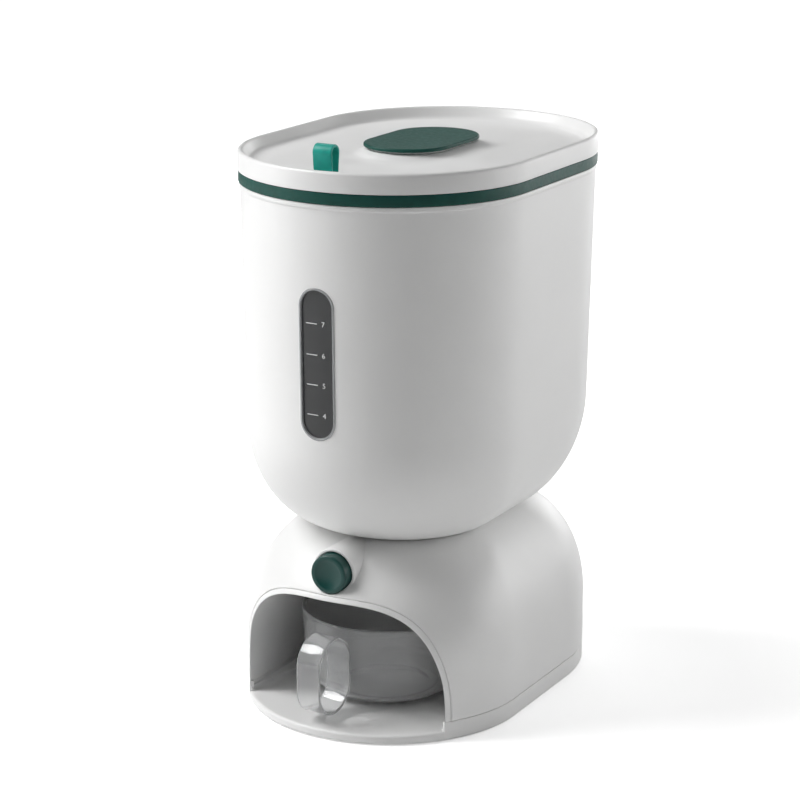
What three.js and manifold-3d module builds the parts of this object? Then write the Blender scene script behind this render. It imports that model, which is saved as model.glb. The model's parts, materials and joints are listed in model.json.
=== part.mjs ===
// A countertop dispenser for rice and cereal: an oval tank with a sight window stands on a domed
// base. Pressing the button slides a gate under the tank, and a portion drops into the cup that
// stands in the arched bay. The lid lifts off and carries a moisture absorber under a small cap.
// Millimetres, +Z up, front towards -Y, origin at the bottom centre.
import * as THREE from 'three';
import { mergeVertices } from 'three/addons/utils/BufferGeometryUtils.js';
import Module from 'manifold-3d';

const wasm = await Module();
wasm.setup();

// ---- clearances ----
const SEAM = 0.3; // between fixed neighbours
const RUNNING = 0.6; // around anything that slides

// ---- plan outline: a straight-sided oval with round ends, scaled section by section ----
const LID_HALF_WIDTH = 110;
const LID_HALF_LENGTH = 158.8;
const STRAIGHT = LID_HALF_LENGTH / LID_HALF_WIDTH - 1; // half of the straight side, per radius
const CORNER_STEPS = 7; // segments in each quarter of an oval
const WALL = 3; // moulded wall of the tank, the base cover and the tray

// ---- heights ----
const SKIRT_BOTTOM = 1;
const FLOOR_UNDERSIDE = 5;
const FLOOR_TOP = 8;
const TRAY_TOP = 15.4;
const COVER_SHOULDER = 56.7;
const COVER_TOP = 136.6;
const TANK_BOTTOM = 139.6;
const TANK_SHOULDER = 220.5;
const TANK_TOP = 396.6;
const BAND_HEIGHT = 8.3; // visible edge of the lid seal
const LID_SIDE_HEIGHT = 14.6;
const LID_DISH_DEPTH = 9.1; // rim down to the sunken floor of the lid

// ---- radii of the oval sections ----
const BASE_RADIUS = 107;
const COVER_CURVE = 51.5; // sideways size of the dome's elliptical rounding
const COVER_RISE = 83.5; // its upright size
const TANK_FOOT_RADIUS = 106.1;
const TANK_RIM_RADIUS = 108.75;
const TANK_CURVE = 53.2;
const TANK_FALL = 84.7;
const RIM_BEAD = 0.6; // stands out round the top of the tank
const RIM_BEAD_HEIGHT = 3.4;
const NECK_RADIUS = 68.4;
const NECK_RING_WIDTH = 8;

// ---- arched bay and its liner ----
const ARCH_HALF_WIDTH = 83;
const ARCH_TOP = 102.2;
const ARCH_SIDE_POWER = 3.2;
const ARCH_TOP_POWER = 3;
const ARCH_STEPS = 20;
const BEZEL_SIDE = 2.9;
const BEZEL_TOP = 3.6;
const BAY_BACK_Y = 20; // inner face of the liner's back wall
const BAY_CORNER_RADIUS = 45; // rounding of its rear corners
const RECESS_RADIUS = 66.6; // round back of the tray's recess, concentric with the cup
const RECESS_FLARE = THREE.MathUtils.degToRad(12.4); // each side of it opens towards the front
const ROUND_STEPS = 14;
const LEDGE_TOP = 12.2; // shelf between the recess and the liner
const LINER_WALL = 4.2;

// ---- measuring cup ----
const CUP_CENTRE_Y = -52;
const CUP_RIM_RADIUS = 64;
const CUP_BELLY_RADIUS = 61.5;
const CUP_FOOT_RADIUS = 40;
const CUP_HEIGHT = 65;
const CUP_FOOT_HEIGHT = 1.7;
const CUP_BELLY_HEIGHT = 26.7; // where the rounded bottom meets the wall
const CUP_WALL = 2.4;
const CUP_TURN = THREE.MathUtils.degToRad(5); // the handle points a little to the left
const HANDLE_REACH = 41;
const HANDLE_HEIGHT = 59;
const HANDLE_WIDTH = 20;
const HANDLE_STRAP = 2.5;
const HANDLE_BELOW_RIM = 1.2;

// ---- button, rod and spring ----
const BUTTON_Z = 121.8;
const BUTTON_FACE_Y = -140;
const BUTTON_RADIUS = 14.4;
const BUTTON_LENGTH = 14;
const BUTTON_FACE_THICKNESS = 3.3;
const BUTTON_WALL = 1.8;
const BUTTON_BORE_GAP = 0.5;
const BUTTON_BOSS_Y = -131.5;
const BUTTON_BOSS_END_Y = -103;
const BUTTON_BOSS_WALL = 2.4;
const ROD_RADIUS = 4;
const ROD_END_Y = -92;
const ROD_TONGUE_LENGTH = 13;
const ROD_TONGUE_THICKNESS = 3;
const ROD_TONGUE_WIDTH = 14;
const GUIDE_FRONT_Y = -108;
const GUIDE_THICKNESS = 4.5;
const SPRING_WIRE = 1.2;
const SPRING_RADIUS = 8;
const SPRING_TURNS = 5;

// ---- gate valve ----
const PORT_WIDTH = 60;
const PORT_LENGTH = 12;
const PORT_Y = -35;
const SEAL_LAND = 1.5; // gate left between its window and the port when shut
const BUTTON_STROKE = PORT_LENGTH + SEAL_LAND;
const GATE_THICKNESS = 2.5;
const GATE_WIDTH = 72;
const GATE_TOP = 119.7;
const GATE_MARGIN = 7.5; // of gate in front of its window
const GATE_TAB_WIDTH = 16;
const VALVE_WIDTH = 92;
const VALVE_LENGTH = 58;
const VALVE_FLOOR = 7.5; // of the lower plate, under the gate
const VALVE_COVER = 7.5; // of the upper plate
const VALVE_SCREW_INSET = 5;
const SEAL_THICKNESS = 1.3;
const SEAL_WIDTH = 2.4;
const CHUTE_WALL = 2.2;
const CHUTE_FLANGE = 2; // thickness
const CHUTE_FLANGE_WIDTH = 5;
const CHUTE_BOTTOM = 98;

// ---- hopper in the tank ----
const HOPPER_WALL = 2.4;
const HOPPER_TOP = 211;
const HOPPER_THROAT = 136; // start of the straight outlet

// ---- sight window ----
const WINDOW_HALF_WIDTH = 13.6;
const WINDOW_BOTTOM = 226.6;
const WINDOW_TOP = 336.4;
const WINDOW_THICKNESS = 2.4;

// ---- lid, pull tab and absorber ----
const LID_WALL = 2.8;
const LID_PLATE_THICKNESS = 3;
const SEAL_RING_INNER = 99;
const SEAL_PLUG_DEPTH = 5.4; // of seal that reaches into the tank
const SEAL_PLUG_GAP = 0.75;
const PAD_HALF_WIDTH = 33;
const PAD_HALF_LENGTH = 53.6;
const PAD_TOP = 420.3;
const PAD_THICKNESS = 3.2;
const PAD_OVERHANG = 2;
const PAD_PLUG_HEIGHT = 4;
const POCKET_HALF_WIDTH = 27;
const POCKET_HALF_LENGTH = 47.6;
const TUB_WALL = 2;
const TUB_FLANGE = 1;
const TUB_DEPTH = 19;
const TUB_LEDGE = 4;
const GRILLE_THICKNESS = 1.6;
const GRILLE_SLOTS = 11;
const GRILLE_PITCH = 7;
const GRILLE_SLOT_WIDTH = 2.4;
const PACK_HEIGHT = 9;
const TAB_WIDTH = 15;
const TAB_DEPTH = 12;
const TAB_HEIGHT = 24.7;
const TAB_STRAP = 2;
const TAB_Y = -140.3;

// ---- feet and fasteners ----
const FOOT_RADIUS = 8;
const FOOT_X = 72;
const FOOT_Y = 86;
const SCREW_SHANK_RADIUS = 1.6;
const SCREW_HEAD_RADIUS = 3.3;
const SCREW_HEAD_HEIGHT = 1.9;
const POST_RADIUS = 5;
const POST_INSET = 4; // post centre to the inner face of the cover
const POST_HEIGHT = 46;

// ---- sizes that follow from those above ----
const SEAL_BOTTOM = TANK_TOP + SEAM;
const LID_BOTTOM = SEAL_BOTTOM + BAND_HEIGHT + SEAM;
const LID_TOP = LID_BOTTOM + LID_SIDE_HEIGHT;
const LID_FLOOR = LID_TOP - LID_DISH_DEPTH;
const PAD_BOTTOM = PAD_TOP - PAD_THICKNESS;
const TUB_TOP = PAD_BOTTOM - SEAM;
const LID_BOSS_TOP = TUB_TOP - TUB_FLANGE - SEAM;
const CUP_BOTTOM = FLOOR_TOP + SEAM;
const CUP_RIM = CUP_BOTTOM + CUP_HEIGHT;
const BORE_RADIUS = BUTTON_RADIUS + BUTTON_BORE_GAP;
const BUTTON_INSIDE_Y = BUTTON_FACE_Y + BUTTON_FACE_THICKNESS;
const GATE_BOTTOM = GATE_TOP - GATE_THICKNESS;
const VALVE_LOWER_BOTTOM = GATE_BOTTOM - SEAM - VALVE_FLOOR;
const VALVE_SPLIT = GATE_TOP + SEAM; // top of the side rails
const VALVE_UPPER_BOTTOM = VALVE_SPLIT + SEAM;
const VALVE_TOP = VALVE_UPPER_BOTTOM + VALVE_COVER;
const FAR = 400; // longer than anything that is cut

// ---- materials ----
function plastic(color, roughness = 0.35, metalness = 0) {
  return new THREE.MeshStandardMaterial({ color, roughness, metalness });
}
const whitePlastic = plastic(0xe9e9e8);
const innerPlastic = plastic(0xd2d4d4, 0.5);
const greenRubber = plastic(0x0f4a45, 0.55);
const brightSilicone = plastic(0x12a088, 0.5);
const greyGlass = plastic(0x6a6c6e, 0.15);
const clearPlastic = plastic(0xb9bcbd, 0.1);
const darkRubber = plastic(0x2c2f30, 0.8);
const steel = plastic(0xa9abad, 0.3, 1);
const paper = plastic(0xf1eee4, 0.9);

// ---- solids ----
// A closed geometry of any kind becomes a solid: shared corners are merged, empty triangles dropped.
function toSolid(geometry) {
  const bare = geometry.clone();
  bare.deleteAttribute('normal');
  bare.deleteAttribute('uv');
  const merged = mergeVertices(bare, 1e-4);
  const index = merged.index.array;
  const triangles = [];
  for (let i = 0; i < index.length; i += 3) {
    const [a, b, c] = [index[i], index[i + 1], index[i + 2]];
    if (a !== b && b !== c && c !== a) triangles.push(a, b, c);
  }
  const vertProperties = new Float32Array(merged.attributes.position.array);
  const triVerts = new Uint32Array(triangles);
  return new wasm.Manifold(new wasm.Mesh({ numProp: 3, vertProperties, triVerts }));
}

function toGeometry(solid) {
  const { vertProperties, triVerts } = solid.getMesh();
  const geometry = new THREE.BufferGeometry();
  geometry.setAttribute('position', new THREE.BufferAttribute(new Float32Array(vertProperties), 3));
  geometry.setIndex(new THREE.BufferAttribute(new Uint32Array(triVerts), 1));
  geometry.computeVertexNormals();
  return geometry;
}

function cut(solid, ...tools) {
  return tools.reduce((left, tool) => left.subtract(tool), solid);
}

function join(solid, ...others) {
  return others.reduce((sum, other) => sum.add(other), solid);
}

// One level of a loft: a rectangle of half-sizes hx and hy with its corners rounded by rc.
function level(z, hx, hy, rc, cy = 0) {
  return { z, hx, hy, rc, cy };
}

// An oval level of the body at radius r, with its edge drawn in by an inset.
function oval(z, r, inset = 0) {
  return level(z, r - inset, r * (1 + STRAIGHT) - inset, r - inset);
}

function levelPoints({ z, hx, hy, rc, cy }) {
  const points = [];
  const signs = [[1, 1], [-1, 1], [-1, -1], [1, -1]];
  signs.forEach(([sx, sy], quarter) => {
    for (let i = 0; i <= CORNER_STEPS; i += 1) {
      const angle = (quarter + i / CORNER_STEPS) * Math.PI / 2;
      const x = sx * (hx - rc) + rc * Math.cos(angle);
      const y = cy + sy * (hy - rc) + rc * Math.sin(angle);
      points.push([x, y, z]);
    }
  });
  return points;
}

// A solid through a stack of levels, given from the underside up the outside. With ring set, the
// last level joins the first, and without it both ends are closed flat.
function loft(levels, ring = false) {
  const rings = levels.map(levelPoints);
  const count = rings[0].length;
  const positions = rings.flat(2);
  const faces = [];
  const last = ring ? rings.length : rings.length - 1;
  for (let k = 0; k < last; k += 1) {
    const low = k * count;
    const high = ((k + 1) % rings.length) * count;
    for (let i = 0; i < count; i += 1) {
      const j = (i + 1) % count;
      faces.push(low + i, low + j, high + j, low + i, high + j, high + i);
    }
  }
  if (!ring) {
    const top = (rings.length - 1) * count;
    const centre = positions.length / 3;
    positions.push(0, levels[0].cy, levels[0].z);
    positions.push(0, levels.at(-1).cy, levels.at(-1).z);
    for (let i = 0; i < count; i += 1) {
      const j = (i + 1) % count;
      faces.push(centre, j, i, centre + 1, top + i, top + j);
    }
  }
  const geometry = new THREE.BufferGeometry();
  geometry.setAttribute('position', new THREE.Float32BufferAttribute(positions, 3));
  geometry.setIndex(faces);
  return toSolid(geometry);
}

// The rounding of the dome or of the tank's bottom: a quarter ellipse of levels, drawn in by inset.
function rounding({ radius, curve, rise, z, end, inset = 0, steps = 7 }) {
  const way = Math.sign(rise);
  const endAngle = Math.asin((end - z) / rise);
  const levels = [];
  for (let i = 0; i <= steps; i += 1) {
    const angle = endAngle * i / steps;
    const outer = radius - curve * (1 - Math.cos(angle));
    const inner = radius - curve + (curve - inset) * Math.cos(angle);
    const height = z + (rise - way * inset) * Math.sin(angle);
    levels.push(level(height, inner, inner + STRAIGHT * outer, inner));
  }
  return levels;
}

function box(x0, x1, y0, y1, z0, z1) {
  const geometry = new THREE.BoxGeometry(x1 - x0, y1 - y0, z1 - z0);
  geometry.translate((x0 + x1) / 2, (y0 + y1) / 2, (z0 + z1) / 2);
  return toSolid(geometry);
}

// The grain's passage, drawn out on each side by grow.
function port(z0, z1, grow = 0) {
  const x = PORT_WIDTH / 2 + grow;
  const y = PORT_LENGTH / 2 + grow;
  return box(-x, x, PORT_Y - y, PORT_Y + y, z0, z1);
}

// A round bar along Y, or along Z.
function barY(radius, y0, y1, z, segments = 24) {
  const geometry = new THREE.CylinderGeometry(radius, radius, y1 - y0, segments);
  geometry.translate(0, (y0 + y1) / 2, z);
  return toSolid(geometry);
}

function barZ(radius, x, y, z0, z1, segments = 14) {
  const geometry = new THREE.CylinderGeometry(radius, radius, z1 - z0, segments);
  geometry.rotateX(Math.PI / 2);
  geometry.translate(x, y, (z0 + z1) / 2);
  return toSolid(geometry);
}

// A flat outline in X and Z pushed along Y, or one in X and Y pushed along Z.
function prismY(shape, y0, y1) {
  const geometry = new THREE.ExtrudeGeometry(shape, { depth: y1 - y0, bevelEnabled: false });
  geometry.rotateX(Math.PI / 2);
  geometry.translate(0, y1, 0);
  return toSolid(geometry);
}

function prismZ(shape, z0, z1) {
  const geometry = new THREE.ExtrudeGeometry(shape, {
    depth: z1 - z0, bevelEnabled: false, curveSegments: ROUND_STEPS,
  });
  geometry.translate(0, 0, z0);
  return toSolid(geometry);
}

function ovalShape(halfWidth, halfHeight, centreX = 0, centreY = 0) {
  const radius = Math.min(halfWidth, halfHeight);
  const shape = new THREE.Shape();
  const straight = halfHeight - radius;
  shape.absarc(centreX, centreY + straight, radius, 0, Math.PI);
  shape.absarc(centreX, centreY - straight, radius, Math.PI, 2 * Math.PI);
  shape.closePath();
  return shape;
}

// ---- the arched bay ----
function archShape(grow = 0) {
  const a = ARCH_HALF_WIDTH + grow * BEZEL_SIDE;
  const h = ARCH_TOP - FLOOR_TOP + grow * BEZEL_TOP;
  const shape = new THREE.Shape();
  shape.moveTo(-a, 0);
  shape.lineTo(a, 0);
  for (let i = 0; i <= ARCH_STEPS; i += 1) {
    const t = Math.PI * i / ARCH_STEPS;
    const x = a * Math.sign(Math.cos(t)) * Math.abs(Math.cos(t)) ** (2 / ARCH_SIDE_POWER);
    const z = FLOOR_TOP + h * Math.sin(t) ** (2 / ARCH_TOP_POWER);
    shape.lineTo(x, z);
  }
  shape.closePath();
  return shape;
}

// The recess round the cup: sides that converge from the opening and a round back.
function recess(bottom) {
  const front = -FAR / 2;
  const touchX = RECESS_RADIUS * Math.cos(RECESS_FLARE);
  const touchY = CUP_CENTRE_Y + RECESS_RADIUS * Math.sin(RECESS_FLARE);
  const frontX = touchX + (touchY - front) * Math.tan(RECESS_FLARE);
  const shape = new THREE.Shape();
  shape.moveTo(-frontX, front);
  shape.lineTo(frontX, front);
  shape.absarc(0, CUP_CENTRE_Y, RECESS_RADIUS, RECESS_FLARE, Math.PI - RECESS_FLARE);
  shape.closePath();
  const arch = prismY(archShape(0), -FAR / 2, FAR / 2);
  return arch.intersect(prismZ(shape, bottom, FAR));
}

// The bay: the arch pushed back along Y, with round rear corners. Its walls lie outside it.
function bay(grow, wall, bottom) {
  const half = ARCH_HALF_WIDTH + grow * BEZEL_SIDE;
  const back = BAY_BACK_Y + wall;
  const radius = BAY_CORNER_RADIUS + grow * BEZEL_SIDE;
  const shape = new THREE.Shape();
  shape.moveTo(-half, -FAR / 2);
  shape.lineTo(half, -FAR / 2);
  shape.absarc(half - radius, back - radius, radius, 0, Math.PI / 2);
  shape.absarc(radius - half, back - radius, radius, Math.PI / 2, Math.PI);
  shape.closePath();
  const arch = prismY(archShape(grow), -FAR / 2, FAR / 2);
  return arch.intersect(prismZ(shape, bottom, FAR));
}

// ---- base ----
function domeLevels(inset) {
  const dome = {
    radius: BASE_RADIUS, curve: COVER_CURVE, rise: COVER_RISE, z: COVER_SHOULDER, end: COVER_TOP,
  };
  const bottom = TRAY_TOP + SEAM - (inset > 0 ? SEAM : 0);
  return [oval(bottom, BASE_RADIUS, inset), ...rounding({ ...dome, inset })];
}

function screwPosts() {
  const radius = BASE_RADIUS - WALL - POST_INSET;
  const side = 40;
  const back = THREE.MathUtils.degToRad(60);
  const straight = STRAIGHT * BASE_RADIUS;
  return [1, -1].flatMap((sx) => [
    [sx * radius, -side],
    [sx * radius, side],
    [sx * radius * Math.cos(back), straight + radius * Math.sin(back)],
  ]);
}

function baseTray() {
  const skirt = loft([
    oval(SKIRT_BOTTOM, BASE_RADIUS, 1.2),
    oval(SKIRT_BOTTOM + 1.6, BASE_RADIUS),
    oval(TRAY_TOP, BASE_RADIUS),
  ]);
  const under = loft([oval(0, BASE_RADIUS, WALL), oval(FLOOR_UNDERSIDE, BASE_RADIUS, WALL)]);
  const above = loft([oval(FLOOR_TOP, BASE_RADIUS, WALL), oval(TRAY_TOP + 1, BASE_RADIUS, WALL)]);
  const kerb = bay(1, LINER_WALL, 0);
  const holes = screwPosts().map(([x, y]) => {
    return barZ(SCREW_SHANK_RADIUS + SEAM, x, y, 0, TRAY_TOP, 12);
  });
  return cut(skirt, under, above.subtract(kerb), bay(0, 0, LEDGE_TOP), recess(FLOOR_TOP), ...holes);
}

function archLiner() {
  const envelope = loft(domeLevels(0)).subtract(box(-FAR, FAR, -FAR, FAR, 0, TRAY_TOP + SEAM));
  const outer = bay(1, LINER_WALL, 0).intersect(envelope);
  const chuteHole = port(ARCH_TOP / 2, FAR, CHUTE_WALL + SEAM);
  return cut(outer, bay(0, 0, FLOOR_TOP), chuteHole);
}

function baseCover() {
  const inside = domeLevels(WALL);
  const shell = loft(domeLevels(0)).subtract(loft(inside));
  const boss = barY(BORE_RADIUS + BUTTON_BOSS_WALL, BUTTON_BOSS_Y, BUTTON_BOSS_END_Y, BUTTON_Z);
  const bore = barY(BORE_RADIUS, -FAR / 2, BUTTON_BOSS_END_Y + 1, BUTTON_Z);
  const neck = loft([
    oval(COVER_SHOULDER, NECK_RADIUS, NECK_RING_WIDTH), oval(FAR, NECK_RADIUS, NECK_RING_WIDTH),
  ]);
  const postBottom = FLOOR_TOP + SEAM;
  const skirtZone = loft([oval(0, BASE_RADIUS, -1), oval(TRAY_TOP + SEAM, BASE_RADIUS, -1)]).subtract(
    loft([oval(-1, BASE_RADIUS, WALL + SEAM), oval(TRAY_TOP + 1, BASE_RADIUS, WALL + SEAM)]),
  );
  const posts = screwPosts().map(([x, y]) => {
    return barZ(POST_RADIUS, x, y, postBottom, POST_HEIGHT).subtract(skirtZone);
  });
  const pilots = screwPosts().map(([x, y]) => {
    return barZ(SCREW_SHANK_RADIUS + SEAM, x, y, 0, postBottom + 14, 10);
  });
  const parting = prismY(archShape(1 + SEAM / BEZEL_TOP), -FAR / 2, 0);
  return cut(join(shell, boss, ...posts), bore, neck, parting, ...pilots);
}

function neckGasket() {
  const low = COVER_TOP + SEAM;
  const high = TANK_BOTTOM - SEAM;
  const outer = [oval(low, NECK_RADIUS), oval(high, NECK_RADIUS)];
  const inner = [oval(high, NECK_RADIUS, NECK_RING_WIDTH), oval(low, NECK_RADIUS, NECK_RING_WIDTH)];
  return loft([...outer, ...inner], true);
}

function foot() {
  const profile = [[0, 0], [FOOT_RADIUS - 0.6, 0], [FOOT_RADIUS, 0.6], [FOOT_RADIUS, FLOOR_UNDERSIDE - SEAM]];
  profile.push([0, FLOOR_UNDERSIDE - SEAM]);
  return turned(profile, 20);
}

// A turned piece standing on Z, from a profile of [radius, height] that starts and ends on the axis.
function turned(profile, segments) {
  const points = profile.map(([r, z]) => new THREE.Vector2(r, z));
  const geometry = new THREE.LatheGeometry(points, segments);
  geometry.rotateX(Math.PI / 2);
  return toSolid(geometry);
}

// A screw with its head down at z = 0 and its shank pointing up.
function screw(length) {
  return turned([
    [0, 0], [SCREW_HEAD_RADIUS - 0.5, 0], [SCREW_HEAD_RADIUS, 0.5], [SCREW_HEAD_RADIUS, SCREW_HEAD_HEIGHT],
    [SCREW_SHANK_RADIUS, SCREW_HEAD_HEIGHT], [SCREW_SHANK_RADIUS, length - 1.5], [0, length],
  ], 10);
}

// ---- tank ----
function tankLevels(inset, top) {
  const bowl = {
    radius: TANK_FOOT_RADIUS, curve: TANK_CURVE, rise: -TANK_FALL, z: TANK_SHOULDER, end: TANK_BOTTOM,
  };
  return [...rounding({ ...bowl, inset }).reverse(), oval(top, TANK_RIM_RADIUS, inset)];
}

function windowOpening(clearance) {
  const halfHeight = (WINDOW_TOP - WINDOW_BOTTOM) / 2 - clearance;
  const centre = (WINDOW_TOP + WINDOW_BOTTOM) / 2;
  return prismY(ovalShape(WINDOW_HALF_WIDTH - clearance, halfHeight, 0, centre), -FAR / 2, 0);
}

function tank() {
  const beadBottom = TANK_TOP - RIM_BEAD_HEIGHT;
  const bead = loft([oval(beadBottom, TANK_RIM_RADIUS, -RIM_BEAD), oval(TANK_TOP, TANK_RIM_RADIUS, -RIM_BEAD)]);
  const outside = loft(tankLevels(0, TANK_TOP)).add(bead);
  const inside = loft(tankLevels(WALL, TANK_TOP + 1));
  const throat = port(0, FAR / 2, HOPPER_WALL + SEAM);
  return cut(outside, inside, throat, windowOpening(0));
}

function windowLens() {
  const skin = (WALL - WINDOW_THICKNESS) / 2;
  const outside = loft(tankLevels(skin, TANK_TOP));
  const inside = loft(tankLevels(skin + WINDOW_THICKNESS, TANK_TOP + 1));
  return outside.subtract(inside).intersect(windowOpening(SEAM));
}

function hopperFunnel() {
  const gap = WALL + SEAM;
  const portX = PORT_WIDTH / 2;
  const portY = PORT_LENGTH / 2;
  const bottom = VALVE_TOP + SEAM;
  const outerThroat = [portX + HOPPER_WALL, portY + HOPPER_WALL, HOPPER_WALL, PORT_Y];
  const innerThroat = [portX, portY, 1, PORT_Y];
  const wide = TANK_FOOT_RADIUS - 1;
  return loft([
    level(bottom, ...outerThroat),
    level(TANK_BOTTOM + WALL, ...outerThroat),
    oval(HOPPER_TOP - HOPPER_WALL, wide, gap + SEAM),
    oval(HOPPER_TOP, wide, gap + SEAM),
    oval(HOPPER_TOP, wide, gap + SEAM + HOPPER_WALL),
    level(HOPPER_THROAT + WALL + HOPPER_WALL + 3, ...innerThroat),
    level(bottom, ...innerThroat),
  ], true);
}

// ---- gate valve ----
function valvePlan(z0, z1) {
  return box(-VALVE_WIDTH / 2, VALVE_WIDTH / 2, PORT_Y - VALVE_LENGTH / 2, PORT_Y + VALVE_LENGTH / 2, z0, z1);
}

function valveScrewPlaces() {
  const x = VALVE_WIDTH / 2 - VALVE_SCREW_INSET;
  const y = VALVE_LENGTH / 2 - VALVE_SCREW_INSET;
  return [[x, y], [-x, y], [-x, -y], [x, -y]].map(([px, py]) => [px, PORT_Y + py]);
}

function valveScrewHoles(z0, z1) {
  return valveScrewPlaces().map(([x, y]) => barZ(SCREW_SHANK_RADIUS + SEAM, x, y, z0, z1, 12));
}

function valveLower() {
  const half = GATE_WIDTH / 2 + SEAM;
  const channel = box(-half, half, -FAR, FAR, GATE_BOTTOM - SEAM, FAR);
  const body = valvePlan(VALVE_LOWER_BOTTOM, VALVE_SPLIT);
  return cut(body, channel, port(0, FAR), ...valveScrewHoles(0, FAR));
}

function valveUpper() {
  const groove = cut(
    port(0, VALVE_UPPER_BOTTOM + SEAL_THICKNESS, SEAL_WIDTH + 1 + SEAM),
    port(0, FAR, 1 - SEAM),
  );
  const body = valvePlan(VALVE_UPPER_BOTTOM, VALVE_TOP);
  const pilots = valveScrewHoles(VALVE_UPPER_BOTTOM - 1, VALVE_TOP - 1.5);
  return cut(body, port(0, FAR), groove, ...pilots);
}

function gateSeal() {
  const bottom = GATE_TOP + SEAM;
  const top = VALVE_UPPER_BOTTOM + SEAL_THICKNESS - SEAM;
  return port(bottom, top, SEAL_WIDTH + 1).subtract(port(0, FAR, 1));
}

function gatePlate() {
  const windowBack = PORT_Y + PORT_LENGTH / 2 - BUTTON_STROKE;
  const windowFront = windowBack - PORT_LENGTH;
  const back = PORT_Y + PORT_LENGTH / 2 + GATE_MARGIN;
  const front = windowFront - GATE_MARGIN;
  const half = GATE_WIDTH / 2;
  const plate = box(-half, half, front, back, GATE_BOTTOM, GATE_TOP);
  const tab = box(-GATE_TAB_WIDTH / 2, GATE_TAB_WIDTH / 2, ROD_END_Y + 1, front + 1, GATE_BOTTOM, GATE_TOP);
  const opening = box(-PORT_WIDTH / 2, PORT_WIDTH / 2, windowFront, windowBack, 0, FAR);
  const hole = barZ(SCREW_SHANK_RADIUS + SEAM, 0, gateScrewY(), 0, FAR, 12);
  return cut(plate.add(tab), opening, hole);
}

function gateScrewY() {
  return ROD_END_Y + ROD_TONGUE_LENGTH / 2;
}

function chute() {
  const top = VALVE_LOWER_BOTTOM - SEAM;
  const flange = port(top - CHUTE_FLANGE, top, CHUTE_WALL + CHUTE_FLANGE_WIDTH);
  return flange.add(port(CHUTE_BOTTOM, top, CHUTE_WALL)).subtract(port(0, FAR));
}

// ---- button ----
// A piece turned about the button's axis, from a profile of [radius, y] starting and ending on it.
function turnedY(profile, segments) {
  const points = profile.map(([r, y]) => new THREE.Vector2(r, y));
  const geometry = new THREE.LatheGeometry(points, segments);
  geometry.translate(0, 0, BUTTON_Z);
  return toSolid(geometry);
}

function buttonCap() {
  const end = BUTTON_FACE_Y + BUTTON_LENGTH;
  const inner = BUTTON_RADIUS - BUTTON_WALL;
  const lip = 1.1;
  const socket = ROD_RADIUS + SEAM + 2;
  return turnedY([
    [0, BUTTON_FACE_Y + 1.6], [6, BUTTON_FACE_Y + 1.4], [10.4, BUTTON_FACE_Y + 0.6], [11.6, BUTTON_FACE_Y],
    [BUTTON_RADIUS - lip, BUTTON_FACE_Y], [BUTTON_RADIUS, BUTTON_FACE_Y + lip], [BUTTON_RADIUS, end],
    [inner, end], [inner, BUTTON_INSIDE_Y], [socket, BUTTON_INSIDE_Y], [socket, BUTTON_INSIDE_Y + 6],
    [ROD_RADIUS + SEAM, BUTTON_INSIDE_Y + 6], [ROD_RADIUS + SEAM, BUTTON_INSIDE_Y], [0, BUTTON_INSIDE_Y],
  ], 24);
}

function pushRod() {
  const bar = barY(ROD_RADIUS, BUTTON_INSIDE_Y + SEAM, ROD_END_Y, BUTTON_Z, 16);
  const bottom = GATE_TOP + SEAM;
  const half = ROD_TONGUE_WIDTH / 2;
  const end = ROD_END_Y + ROD_TONGUE_LENGTH;
  const tongue = box(-half, half, ROD_END_Y - 1, end, bottom, bottom + ROD_TONGUE_THICKNESS);
  const hole = barZ(SCREW_SHANK_RADIUS + SEAM, 0, gateScrewY(), 0, FAR, 12);
  return bar.add(tongue).subtract(hole);
}

function rodGuide() {
  const disc = barY(BORE_RADIUS - SEAM, GUIDE_FRONT_Y, GUIDE_FRONT_Y + GUIDE_THICKNESS, BUTTON_Z);
  const collar = barY(ROD_RADIUS + 2.4, GUIDE_FRONT_Y - 2.5, GUIDE_FRONT_Y + 1, BUTTON_Z, 20);
  return disc.add(collar).subtract(barY(ROD_RADIUS + SEAM, -FAR, FAR, BUTTON_Z, 20));
}

function returnSpring() {
  const start = BUTTON_INSIDE_Y + SEAM + SPRING_WIRE / 2;
  const end = GUIDE_FRONT_Y - SEAM - SPRING_WIRE / 2;
  const points = [];
  const steps = SPRING_TURNS * 10;
  for (let i = 0; i <= steps; i += 1) {
    const angle = 2 * Math.PI * SPRING_TURNS * i / steps;
    const y = start + (end - start) * i / steps;
    points.push(new THREE.Vector3(SPRING_RADIUS * Math.cos(angle), y, BUTTON_Z + SPRING_RADIUS * Math.sin(angle)));
  }
  const section = new THREE.Shape();
  section.absarc(0, 0, SPRING_WIRE / 2, 0, 2 * Math.PI);
  const extrudePath = new THREE.CatmullRomCurve3(points);
  const geometry = new THREE.ExtrudeGeometry(section, { steps, curveSegments: 3, extrudePath });
  return toSolid(geometry);
}

// ---- lid ----
function padLevel(z, grow) {
  return level(z, PAD_HALF_WIDTH + grow, PAD_HALF_LENGTH + grow, PAD_HALF_WIDTH + grow);
}

function pocketLevel(z, inset) {
  return level(z, POCKET_HALF_WIDTH - inset, POCKET_HALF_LENGTH - inset, POCKET_HALF_WIDTH - inset);
}

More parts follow.
